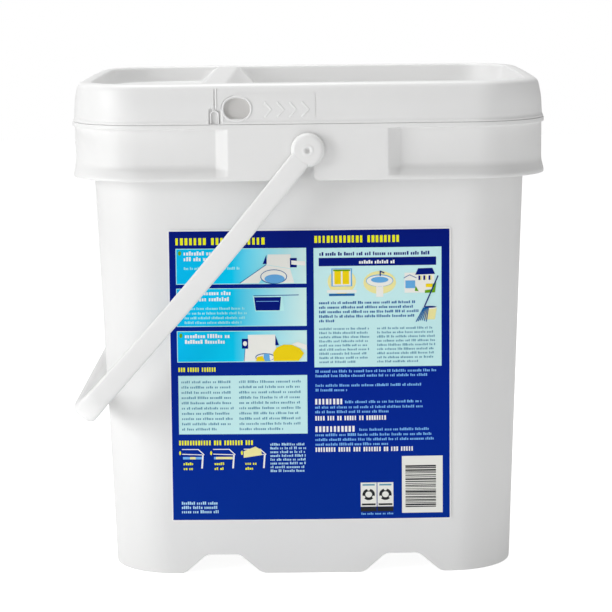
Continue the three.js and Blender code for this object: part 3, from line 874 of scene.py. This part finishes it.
def eye(side):
    """The round eye with its raised centre ring and dimple, and the snap pin behind it."""
    face = ARM_INNER_Y + EYE_THICKNESS
    head = SKIRT_HALF_Y - EAR_WALL - HEAD_GAP
    # Each point is a radius and a distance from the middle plane.
    profile = [
        (0.0, face - 2.6), (1.2, face - 2.4), (2.1, face - 0.4), (2.5, face - 0.05), (3.1, face + 0.15),
        (3.8, face + 0.05), (4.3, face - 0.2), (4.8, face - 0.3), (8.6, face - 0.3), (9.8, face - 0.45),
        (10.9, face - 0.9), (11.7, face - 1.7), (12.15, face - 2.8), (12.25, face - 4.0),
        (12.25, ARM_INNER_Y + 0.6), (11.8, ARM_INNER_Y),
        (PIN_RADIUS + 0.5, ARM_INNER_Y), (PIN_RADIUS, ARM_INNER_Y - 0.5), (PIN_RADIUS, head + 0.1),
        (HEAD_RADIUS, head), (HEAD_RADIUS - 0.3, head - 0.6), (PIN_RADIUS - 0.6, head - 2.0),
        (0.0, head - 2.0),
    ]
    verts = []
    for radius, y in profile:
        reach = max(radius, TINY)
        for n in range(EYE_AROUND):
            angle = n / EYE_AROUND * 2 * math.pi
            verts.append((reach * math.cos(angle), side * y, reach * math.sin(angle)))
    return verts, tube_faces(len(profile), EYE_AROUND)


# Label print; its places are millimetres along the wall and up from the floor.
def to_linear(value):
    share = value / 255
    return share / 12.92 if share <= 0.04045 else ((share + 0.055) / 1.055) ** 2.4


def ink_colour(rgb):
    return [min(BRIGHTEST_INK, to_linear(v) / LIGHT_LEVEL) for v in rgb]


def ink(name, rgb):
    """A printed colour, given as it shows in the photograph's light."""
    material, tree, shader = node_material(name, PRINT_ROUGHNESS)
    shader.inputs["Specular IOR Level"].default_value = PRINT_SHINE
    base = ink_colour(rgb)
    low = [v * 0.97 for v in base]
    vary_colour(tree, shader, noise(tree, 30.0), low, base)
    add_bump(tree, shader, [(60.0, 0.00006)])
    return material


def fade(name, stops, axis, low, high):
    """A print whose colour changes along x or z, between two places in millimetres."""
    material, tree, shader = node_material(name, PRINT_ROUGHNESS)
    shader.inputs["Specular IOR Level"].default_value = PRINT_SHINE
    coords = tree.nodes.new("ShaderNodeTexCoord")
    split = tree.nodes.new("ShaderNodeSeparateXYZ")
    scaled = tree.nodes.new("ShaderNodeMapRange")
    scaled.inputs["From Min"].default_value = low * MM
    scaled.inputs["From Max"].default_value = high * MM
    ramp = tree.nodes.new("ShaderNodeValToRGB")
    while len(ramp.color_ramp.elements) < len(stops):
        ramp.color_ramp.elements.new(0.5)
    for element, (place, rgb) in zip(ramp.color_ramp.elements, stops):
        element.position = place
        element.color = (*ink_colour(rgb), 1)
    link(tree, coords, "Object", split, "Vector")
    tree.links.new(split.outputs[axis], scaled.inputs["Value"])
    link(tree, scaled, "Result", ramp, "Fac")
    link(tree, ramp, "Color", shader, "Base Color")
    add_bump(tree, shader, [(60.0, 0.00006)])
    return material


def wall_y(x, z):
    half_x, half_y = body_halves(z)
    return front_y(x, half_x, half_y)


def spread(x, z):
    """The label grows a little wider on its left towards its foot."""
    left = (LABEL_HALF_X - x) / (2 * LABEL_HALF_X)
    down = (LABEL_HIGH - z) / (LABEL_HIGH - LABEL_LOW)
    return x - LABEL_SPREAD * left * down


class Print:
    """Flat printed shapes on the label, gathered by colour and layer."""

    def __init__(self, side):
        self.side = side
        self.sheets = {}

    def shape(self, colour, layer, loop):
        verts, faces = self.sheets.setdefault((colour, layer), ([], []))
        out = LABEL_GAP + LABEL_FILM + layer * PRINT_STEP
        base = len(verts)
        for x, z in loop:
            x = spread(x, z)
            if layer > 1:
                x -= PRINT_SHIFT * (LABEL_HALF_X - x) / (2 * LABEL_HALF_X)
            verts.append((-self.side * x, self.side * (wall_y(x, z) + out), z))
        faces.append(tuple(range(base, base + len(loop))))

    def box(self, colour, layer, left, right, low, high):
        columns = max(1, round((right - left) / PRINT_COLUMN))
        for n in range(columns):
            a = mix(left, right, n / columns)
            b = mix(left, right, (n + 1) / columns)
            self.shape(colour, layer, rectangle(a, b, low, high))

    def oval(self, colour, layer, x, z, half_x, half_z, steps=28):
        self.shape(colour, layer, oval_path(x, z, half_x, half_z, steps=steps))

    def line(self, colour, layer, x0, z0, x1, z1, width):
        along = Vector((x1 - x0, z1 - z0)).normalized() * width / 2
        dx, dz = -along.y, along.x
        self.shape(colour, layer, [
            (x0 - dx, z0 - dz), (x1 - dx, z1 - dz), (x1 + dx, z1 + dz), (x0 + dx, z0 + dz),
        ])

    def row(self, colour, layer, left, right, low, height, pitch, rng, fill):
        """One row of plain strokes in word-like groups: no letters."""
        x = left
        end = mix(left, right, fill)
        while x < end - pitch:
            for _ in range(rng.randint(2, 8)):
                if x > end - pitch:
                    break
                tall = height * rng.choice((0.72, 0.72, 1.0))
                stroke = rectangle(x, x + pitch * rng.uniform(0.55, 0.82), low, low + tall)
                self.shape(colour, layer, stroke)
                x += pitch
            x += pitch * 0.75

    def block(self, colour, layer, left, right, low, high, rows, height, pitch, seed, short=0.7):
        """Rows of plain strokes filling a block from its top, the last row short."""
        rng = random.Random(seed)
        step = (high - low) / rows
        for n in range(rows):
            fill = short if n == rows - 1 else rng.uniform(0.95, 1.0)
            self.row(colour, layer, left, right, high - step * (n + 1) + 0.4, height, pitch, rng, fill)

    def build(self, prefix):
        for (colour, layer), (verts, faces) in self.sheets.items():
            name = f"{prefix}_{colour}_{layer}"
            piece = to_object(name, verts, faces, INKS[colour], smooth=False)
            build = bmesh.new()
            build.from_mesh(piece.data)
            for face in build.faces:
                if face.normal.y * self.side < 0:
                    face.normal_flip()
            build.to_mesh(piece.data)
            build.free()


def label_film(name, side, node):
    """The film itself: a thin closed sheet with rounded corners that follows the wall."""
    flat = LABEL_HALF_X - LABEL_CORNER
    xs = {round(mix(-flat, flat, n / FILM_COLUMNS), 4) for n in range(FILM_COLUMNS + 1)}
    for n in range(FILM_CORNER_STEPS + 1):
        x = round(flat + LABEL_CORNER * math.cos(n / FILM_CORNER_STEPS * math.pi / 2), 4)
        xs.update((x, -x))
    xs = sorted(xs)
    verts, faces = [], []
    for x in xs:
        inset = max(0.0, abs(x) - flat)
        drop = LABEL_CORNER - math.sqrt(max(0.0, LABEL_CORNER ** 2 - inset ** 2))
        for z in (LABEL_LOW + drop, LABEL_HIGH - drop):
            at = spread(x, z)
            for off in (LABEL_GAP, LABEL_GAP + LABEL_FILM):
                verts.append((-side * at, side * (wall_y(at, z) + off), z))
    for n in range(len(xs) - 1):
        a, b = n * 4, (n + 1) * 4
        faces.extend([
            (a + 1, b + 1, b + 3, a + 3), (a, a + 2, b + 2, b),
            (a, b, b + 1, a + 1), (a + 2, a + 3, b + 3, b + 2),
        ])
    last = (len(xs) - 1) * 4
    faces.append((0, 1, 3, 2))
    faces.append((last, last + 2, last + 3, last + 1))
    film = to_object(name, verts, faces, INKS["pale_edge"], smooth=False)
    face_outward(film.data)
    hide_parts(node)
    return film


PLAIN_INKS = {
    "pale_edge": (226, 236, 250),
    "pale_line": (176, 226, 246),
    "yellow": (238, 226, 30),
    "white": (226, 236, 246),
    "soft_white": (150, 214, 236),
    "grey_white": (222, 222, 216),
    "navy": (0, 20, 111),
    "text_blue": (30, 92, 150),
    "text_grey": (96, 146, 168),
    "text_light": (112, 168, 226),
    "text_pale": (160, 198, 236),
    "sky": (96, 160, 210),
    "glow": (232, 216, 150),
    "gold": (226, 196, 20),
    "green": (96, 150, 20),
    "black": (40, 42, 44),
}
BLUE_STOPS = [(0.0, (0, 42, 136)), (0.45, (0, 34, 134)), (1.0, (0, 20, 109))]
CYAN_STOPS = [(0.0, (0, 176, 232)), (0.42, (0, 186, 226)), (0.62, (120, 206, 226)), (1.0, (196, 222, 218))]
INKS = {name: ink(f"label_{name}", rgb) for name, rgb in PLAIN_INKS.items()}
INKS["pale"] = ink("label_pale_cyan", (186, 222, 228))
INKS["blue"] = fade("label_blue", BLUE_STOPS, "Z", LABEL_LOW, LABEL_HIGH)
INKS["cyan"] = fade("label_cyan_fade", CYAN_STOPS, "X", *LEFT_COLUMN)


def start_label(side):
    """A print with the blue field that leaves the film's pale border bare."""
    art = Print(side)
    reach = LABEL_HALF_X - LABEL_BORDER
    art.box("blue", 1, -reach, reach, LABEL_LOW + LABEL_BORDER, LABEL_HIGH - LABEL_BORDER)
    return art


def print_back_label():
    """The layout of the back label, in plain fields, strokes and simple pictures."""
    art = start_label(-1)
    print_left_column(art)
    print_right_column(art)
    art.build("label")


def heading(art, left, right, low, high, groups, colour="yellow"):
    """Groups of plain blocks of one height that fill the heading's length."""
    pitch = (right - left) / (sum(groups) + 0.8 * (len(groups) - 1))
    rng = random.Random(len(groups) + sum(groups))
    x = left
    for count in groups:
        for _ in range(count):
            art.shape(colour, 2, rectangle(x, x + pitch * rng.uniform(0.5, 0.7), low, high))
            x += pitch
        x += pitch * 0.8


def print_left_column(art):
    left, right = LEFT_COLUMN
    heading(art, left, -31.0, 250.8, 256.0, (7, 12))
    for low, high in ((221.4, 248.1), (189.7, 218.4), (162.8, 186.4)):
        art.box("pale_line", 2, left, right, low, high)
        art.box("cyan", 3, left + 0.5, right - 0.5, low + 0.5, high - 0.5)
        art.oval("green", 4, left + 2.9, high - 3.4, 1.2, 1.7)
    art.block("white", 4, -91.4, -57.0, 238.5, 247.0, 2, 3.0, 1.9, 2, 0.9)
    art.block("soft_white", 4, -91.4, -50.0, 232.0, 235.5, 1, 2.0, 1.2, 3, 1.0)
    art.block("white", 4, -91.4, -54.0, 208.5, 217.5, 2, 3.0, 1.9, 4, 0.9)
    art.block("soft_white", 4, -91.4, -44.0, 191.5, 205.5, 4, 1.9, 1.15, 5, 0.9)
    art.block("white", 4, -91.4, -57.0, 176.5, 185.0, 2, 3.0, 1.9, 6, 0.95)
    print_tub(art)
    print_scoop(art)
    print_cloth(art)
    heading(art, -96.6, -68.4, 155.6, 158.9, (3, 5, 6))
    art.box("pale_line", 2, -96.8, right, 108.0, 152.6)
    art.box("pale", 3, -96.2, right - 0.6, 108.6, 152.0)
    art.block("text_grey", 4, -94.5, -55.6, 110.6, 150.6, 10, 1.9, 1.35, 8)
    art.block("text_grey", 4, -52.0, -4.6, 110.6, 150.6, 10, 1.9, 1.35, 9)
    heading(art, -96.9, -41.6, 99.6, 103.2, (12, 3, 7, 3))
    for n, (x, lid_lift) in enumerate(((-97.2, 0.0), (-74.2, 0.0), (-51.4, 3.0))):
        print_corner_step(art, x, lid_lift, n)
    art.block("text_pale", 2, -29.4, -1.9, 78.3, 101.5, 8, 1.9, 1.25, 11, 0.95)
    art.block("text_pale", 2, -95.6, -66.8, 46.8, 56.8, 3, 2.3, 1.45, 12, 1.0)


def print_tub(art):
    """A tub of water seen from above, in the first panel."""
    art.shape("grey_white", 4, [(-50.5, 222.0), (-31.0, 235.6), (-13.5, 232.5), (-10.5, 222.0)])
    art.shape("grey_white", 4, [(-31.0, 235.8), (-29.8, 243.4), (-13.0, 243.4), (-13.5, 232.8)])
    art.line("text_blue", 5, -50.5, 222.2, -31.0, 235.8, 0.5)
    art.shape("navy", 5, [(-33.6, 236.4), (-30.6, 236.2), (-30.8, 243.2)])
    art.oval("text_blue", 5, -25.6, 226.8, 9.8, 5.4)
    art.oval("grey_white", 6, -25.6, 226.9, 9.2, 4.8)
    art.oval("sky", 7, -25.0, 225.2, 7.4, 3.3)
    art.box("navy", 5, -13.6, -8.6, 233.6, 240.6)
    art.shape("grey_white", 6, [(-12.6, 235.8), (-2.4, 234.8), (-2.4, 238.0), (-12.6, 238.8)])


def print_scoop(art):
    """A measuring scoop with its rim line, in the second panel."""
    art.shape("pale_line", 4, [(-39.4, 201.0), (-18.0, 201.0), (-19.6, 212.8), (-41.2, 212.8)])
    art.shape("navy", 5, [(-39.0, 201.6), (-21.4, 201.6), (-20.4, 211.6), (-40.2, 211.6)])
    art.line("text_light", 6, -38.6, 208.4, -22.0, 208.4, 0.4)
    art.line("text_blue", 5, -40.6, 212.6, -7.4, 213.0, 0.6)


def print_cloth(art):
    """A yellow cloth over a basin's edge, in the third panel."""
    art.shape("grey_white", 4, [(-48.4, 163.4), (-47.0, 172.8), (-23.6, 172.8), (-22.6, 163.4)])
    art.shape("grey_white", 5, [(-45.4, 171.2), (-45.0, 183.4), (-25.0, 183.4), (-24.2, 171.2)])
    art.line("text_blue", 5, -48.0, 163.4, -47.2, 172.8, 0.4)
    art.box("navy", 6, -49.5, -44.9, 173.0, 180.4)
    art.oval("grey_white", 7, -47.2, 176.8, 1.5, 1.8)
    art.shape("navy", 6, [(-24.8, 182.6), (-25.0, 175.2), (-22.2, 175.4)])
    art.oval("text_blue", 6, -32.5, 166.4, 7.2, 3.0)
    art.oval("grey_white", 7, -32.5, 166.2, 6.6, 2.5)
    art.shape("sky", 8, [(-33.8, 163.4), (-33.4, 169.0), (-29.6, 169.2), (-28.8, 163.4)])
    art.shape("gold", 9, [(-39.4, 163.4), (-38.4, 166.6), (-34.4, 167.4), (-32.6, 163.4)])
    art.shape("gold", 9, [
        (-26.2, 163.4), (-26.6, 169.6), (-24.0, 173.6), (-18.8, 175.8), (-12.6, 175.6), (-12.6, 163.4),
    ])
    art.shape("gold", 9, [
        (-12.6, 163.4), (-12.6, 175.6), (-7.0, 172.8), (-3.9, 169.2), (-5.6, 166.2), (-8.0, 163.4),
    ])
    art.shape("grey_white", 10, [
        (-13.2, 176.0), (-8.6, 177.8), (-1.9, 175.4), (-1.9, 171.4), (-7.6, 173.6),
    ])


def print_corner_step(art, x, lid_lift, order):
    """A line picture of a pail's corner: its lid, a band in yellow, and the wall below."""
    art.oval("yellow", 2, x + 0.9, 93.6, 0.7, 1.6)
    top = 96.4
    art.line("white", 2, x + 2.4, top, x + 14.6, top, 0.6)
    art.line("white", 2, x + 14.4, top, x + 18.8, top - 4.2, 0.7)
    art.line("white", 2, x + 2.4, top - 3.6, x + 17.6, top - 4.2, 0.6)
    art.line("white", 2, x + 17.8, top - 4.2, x + 17.0, top - 14.6, 1.2)
    if lid_lift:
        art.shape("glow", 3, [
            (x + 2.2, top - 6.6), (x + 2.2, top - 1.6), (x + 11.0, top + 2.0),
            (x + 15.2, top - 0.6), (x + 15.6, top - 4.6),
        ])
    else:
        art.box("text_light", 2, x + 3.0, x + 17.0, top - 7.6, top - 5.8)
        left, right = (8.2, 12.4) if order == 0 else (4.4, 16.8)
        art.box("glow", 3, x + left, x + right, top - 7.6, top - 5.8)
    art.block("yellow", 2, x + 3.4, x + 12.4, 80.2, 87.8, 2, 2.0, 1.5, 20 + order, 0.8)


def print_right_column(art):
    left, right = RIGHT_COLUMN
    heading(art, 4.4, 67.4, 251.6, 256.8, (12, 8))
    art.box("pale_line", 2, left, right, 158.3, 247.8)
    art.box("pale", 3, left + 0.6, right - 0.6, 158.9, 247.2)
    art.block("navy", 4, 8.0, 90.0, 241.6, 246.2, 1, 2.7, 1.6, 32, 1.0)
    art.box("navy", 4, 7.4, 93.4, 234.2, 240.4)
    art.block("white", 5, 37.0, 65.0, 235.4, 239.6, 1, 2.6, 1.7, 33, 1.0)
    print_window(art)
    print_basin(art)
    print_house(art)
    print_mop(art)
    art.block("text_blue", 4, 7.4, 81.0, 191.8, 208.8, 5, 2.0, 1.3, 34, 0.16)
    art.block("text_grey", 4, 7.4, 45.6, 161.0, 189.2, 9, 1.7, 1.2, 35)
    art.block("text_grey", 4, 50.0, 93.6, 161.0, 189.2, 9, 1.7, 1.2, 36)
    art.block("text_light", 2, 4.4, 95.4, 150.4, 157.2, 2, 2.0, 1.3, 37, 0.92)
    art.block("text_light", 2, 4.4, 84.0, 139.6, 146.6, 2, 2.0, 1.3, 38, 0.3)
    heading(art, 4.0, 25.2, 130.0, 134.3, (8,), "white")
    art.block("text_light", 2, 26.0, 84.0, 130.4, 134.0, 1, 2.0, 1.3, 40, 1.0)
    art.block("text_light", 2, 4.0, 87.0, 123.0, 130.0, 2, 2.0, 1.3, 41, 0.66)
    heading(art, 4.0, 56.8, 117.8, 121.2, (4, 3, 2, 5, 2, 8), "white")
    heading(art, 4.0, 34.0, 109.0, 113.4, (11,), "white")
    art.block("text_light", 2, 36.4, 90.0, 109.2, 112.8, 1, 2.0, 1.3, 44, 1.0)
    art.block("text_light", 2, 4.0, 94.0, 98.2, 109.0, 3, 2.0, 1.3, 45, 0.62)
    heading(art, 4.0, 76.8, 93.8, 97.2, (8, 5, 3, 7, 2, 3, 5), "white")
    print_cells(art)
    print_stripes(art)


def print_window(art):
    art.oval("glow", 4, 24.2, 222.6, 10.4, 9.4)
    art.box("sky", 5, 16.6, 31.8, 219.0, 232.4)
    art.box("grey_white", 6, 17.6, 30.8, 219.6, 231.8)
    art.box("gold", 7, 18.8, 23.6, 220.6, 231.0)
    art.box("gold", 7, 24.8, 29.6, 220.6, 231.0)
    art.box("green", 8, 18.0, 30.4, 230.4, 231.6)
    art.box("text_blue", 5, 14.8, 33.6, 211.8, 213.6)
    art.box("grey_white", 5, 13.4, 35.0, 214.2, 216.4)


def print_basin(art):
    art.oval("glow", 4, 52.0, 221.6, 12.0, 8.6)
    art.box("grey_white", 5, 49.4, 54.6, 210.8, 219.6)
    art.oval("sky", 5, 52.0, 223.0, 10.0, 4.6)
    art.oval("grey_white", 6, 52.0, 222.8, 9.5, 4.1)
    art.oval("sky", 7, 52.0, 223.6, 6.4, 2.2)
    art.line("navy", 8, 52.4, 226.4, 52.4, 230.4, 0.9)
    art.line("navy", 8, 52.4, 230.0, 55.4, 228.6, 0.9)


def print_house(art):
    art.box("grey_white", 4, 70.2, 92.0, 213.6, 228.6)
    art.shape("navy", 5, [(78.0, 227.0), (92.6, 227.4), (90.6, 232.0), (80.2, 231.8)])
    art.box("sky", 5, 70.8, 78.0, 217.0, 222.8)
    art.line("text_blue", 5, 69.6, 224.6, 74.0, 227.0, 0.5)
    art.line("text_blue", 5, 74.0, 227.0, 79.0, 224.6, 0.5)
    for x in (80.4, 84.0, 87.8):
        art.box("navy", 5, x, x + 1.4, 223.0, 226.4)
        art.box("glow", 5, x + 1.4, x + 2.6, 223.0, 226.4)
    art.box("gold", 5, 85.8, 90.6, 217.6, 220.2)
    art.shape("green", 6, [
        (85.0, 213.2), (92.6, 213.6), (93.4, 221.2), (90.8, 220.0), (90.2, 216.0), (85.2, 215.4),
    ])
    art.shape("green", 6, [(77.6, 215.0), (80.6, 214.6), (78.4, 218.6)])


def print_mop(art):
    art.line("navy", 8, 84.6, 202.8, 94.8, 226.2, 0.9)
    art.shape("glow", 5, [(85.0, 193.4), (92.4, 193.4), (93.8, 202.2), (84.0, 202.2)])
    art.oval("grey_white", 6, 88.9, 202.2, 4.9, 1.0)
    art.oval("navy", 7, 88.9, 202.8, 4.6, 0.7)
    for n in range(6):
        x = 84.2 + n * 0.7
        art.line("text_blue", 8, x, 202.4, 78.6 + n * 1.5, 193.0 - abs(n - 2.5) * 0.5, 0.7)


def print_cells(art):
    """Two small pale cells with plain dark marks and a dark foot."""
    for n in range(2):
        x = 37.2 + n * 12.4
        art.box("grey_white", 2, x, x + 11.8, 51.2, 69.8)
        art.box("black", 2, x, x + 11.8, 47.4, 51.0)
        art.box("text_grey", 3, x + 1.4, x + 10.4, 67.4, 68.6)
        art.box("black", 3, x + 0.8, x + 11.0, 52.2, 53.6)
        middle = x + 5.9
        art.oval("black", 3, middle, 60.6, 4.6, 4.4)
        art.oval("grey_white", 4, middle, 60.6, 2.5, 2.3)
        for turn in (90, 210, 330):
            angle = math.radians(turn)
            gap_x, gap_z = middle + 4.2 * math.cos(angle), 60.6 + 4.0 * math.sin(angle)
            art.oval("grey_white", 4, gap_x, gap_z, 1.1, 1.0)
    art.block("text_light", 2, 37.6, 62.0, 44.6, 47.0, 1, 1.6, 1.2, 51, 1.0)


def print_stripes(art):
    """A white panel with plain dark stripes of changing width."""
    art.box("grey_white", 2, 67.8, 98.0, 46.0, 89.8)
    rng = random.Random(61)
    z = 50.4
    while z < 83.6:
        thick = rng.choice((0.35, 0.5, 0.5, 0.8, 1.2))
        art.box("black", 3, 70.4, 93.0, z, z + thick)
        z += thick + rng.choice((0.35, 0.5, 0.8, 1.0))


def print_front_label():
    art = start_label(1)
    art.box("pale_line", 2, -88.0, 88.0, 66.0, 68.0)
    art.box("pale_line", 2, -88.0, 88.0, 236.0, 238.0)
    for n in range(7):
        x = -72.0 + n * 24.0
        z = 110.0 + 9.0 * math.sin(n * 1.4)
        size = 9.0 - n % 3
        art.oval("sky", 2, x, z, size, size)
        art.oval("pale", 3, x - 2.0, z + 2.0, 3.0, 3.0)
    art.build("front_print")


make_pail()
add_lid_details(make_lid())
make_handle()
label_film("back_label_film", -1, "back_label")
label_film("front_label_film", 1, "front_label")
print_back_label()
print_front_label()


# Stage, light and camera.
def make_stage():
    bpy.ops.mesh.primitive_plane_add(size=8, location=(0, 0, 0))
    floor = bpy.context.object
    floor.name = "floor"
    material = bpy.data.materials.new("floor_white")
    material.use_nodes = True
    tree = material.node_tree
    shader = tree.nodes["Principled BSDF"]
    shader.inputs["Base Color"].default_value = (0.8, 0.8, 0.8, 1)
    shader.inputs["Roughness"].default_value = 0.9
    path = tree.nodes.new("ShaderNodeLightPath")
    glow = tree.nodes.new("ShaderNodeEmission")
    glow.inputs["Color"].default_value = (1, 1, 1, 1)
    scaled = tree.nodes.new("ShaderNodeMapRange")
    scaled.inputs["To Min"].default_value = FLOOR_BOUNCE
    scaled.inputs["To Max"].default_value = FLOOR_GLOW
    link(tree, path, "Is Camera Ray", scaled, "Value")
    link(tree, scaled, "Result", glow, "Strength")
    both = tree.nodes.new("ShaderNodeAddShader")
    link(tree, shader, "BSDF", both, 0)
    link(tree, glow, "Emission", both, 1)
    tree.links.new(both.outputs["Shader"], tree.nodes["Material Output"].inputs["Surface"])
    floor.data.materials.append(material)


def make_world():
    world = bpy.data.worlds.new("studio")
    bpy.context.scene.world = world
    world.use_nodes = True
    tree = world.node_tree
    tree.nodes.clear()
    output = tree.nodes.new("ShaderNodeOutputWorld")
    path = tree.nodes.new("ShaderNodeLightPath")
    white = tree.nodes.new("ShaderNodeBackground")
    white.inputs["Color"].default_value = (1, 1, 1, 1)
    white.inputs["Strength"].default_value = 1.0
    ambient = tree.nodes.new("ShaderNodeBackground")
    ambient.inputs["Strength"].default_value = AMBIENT
    chosen = tree.nodes.new("ShaderNodeMixShader")
    link(tree, path, "Is Camera Ray", chosen, 0)
    link(tree, ambient, "Background", chosen, 1)
    link(tree, white, "Background", chosen, 2)
    link(tree, chosen, "Shader", output, "Surface")


def area_light(name, at, aim, size, power):
    data = bpy.data.lights.new(name, "AREA")
    data.shape = "RECTANGLE"
    data.size, data.size_y = size
    data.energy = power
    lamp = add_object(name, data)
    lamp.location = at
    lamp.rotation_euler = (Vector(aim) - Vector(at)).to_track_quat("-Z", "Y").to_euler()


def make_camera():
    data = bpy.data.cameras.new("camera")
    data.sensor_width = 36
    data.lens = CAMERA_LENS
    data.clip_end = 50
    camera = add_object("camera", data)
    turn = Matrix.Rotation(CAMERA_YAW, 4, "Z") @ Matrix.Rotation(math.pi / 2 - CAMERA_TILT, 4, "X")
    turn = turn @ Matrix.Rotation(CAMERA_ROLL, 4, "Z")
    camera.matrix_world = Matrix.Translation(Vector(CAMERA_AT) * MM) @ turn
    bpy.context.scene.camera = camera


make_stage()
make_world()
for lamp in LAMPS:
    area_light(*lamp)
make_camera()

bpy.context.scene.view_settings.view_transform = "Standard"
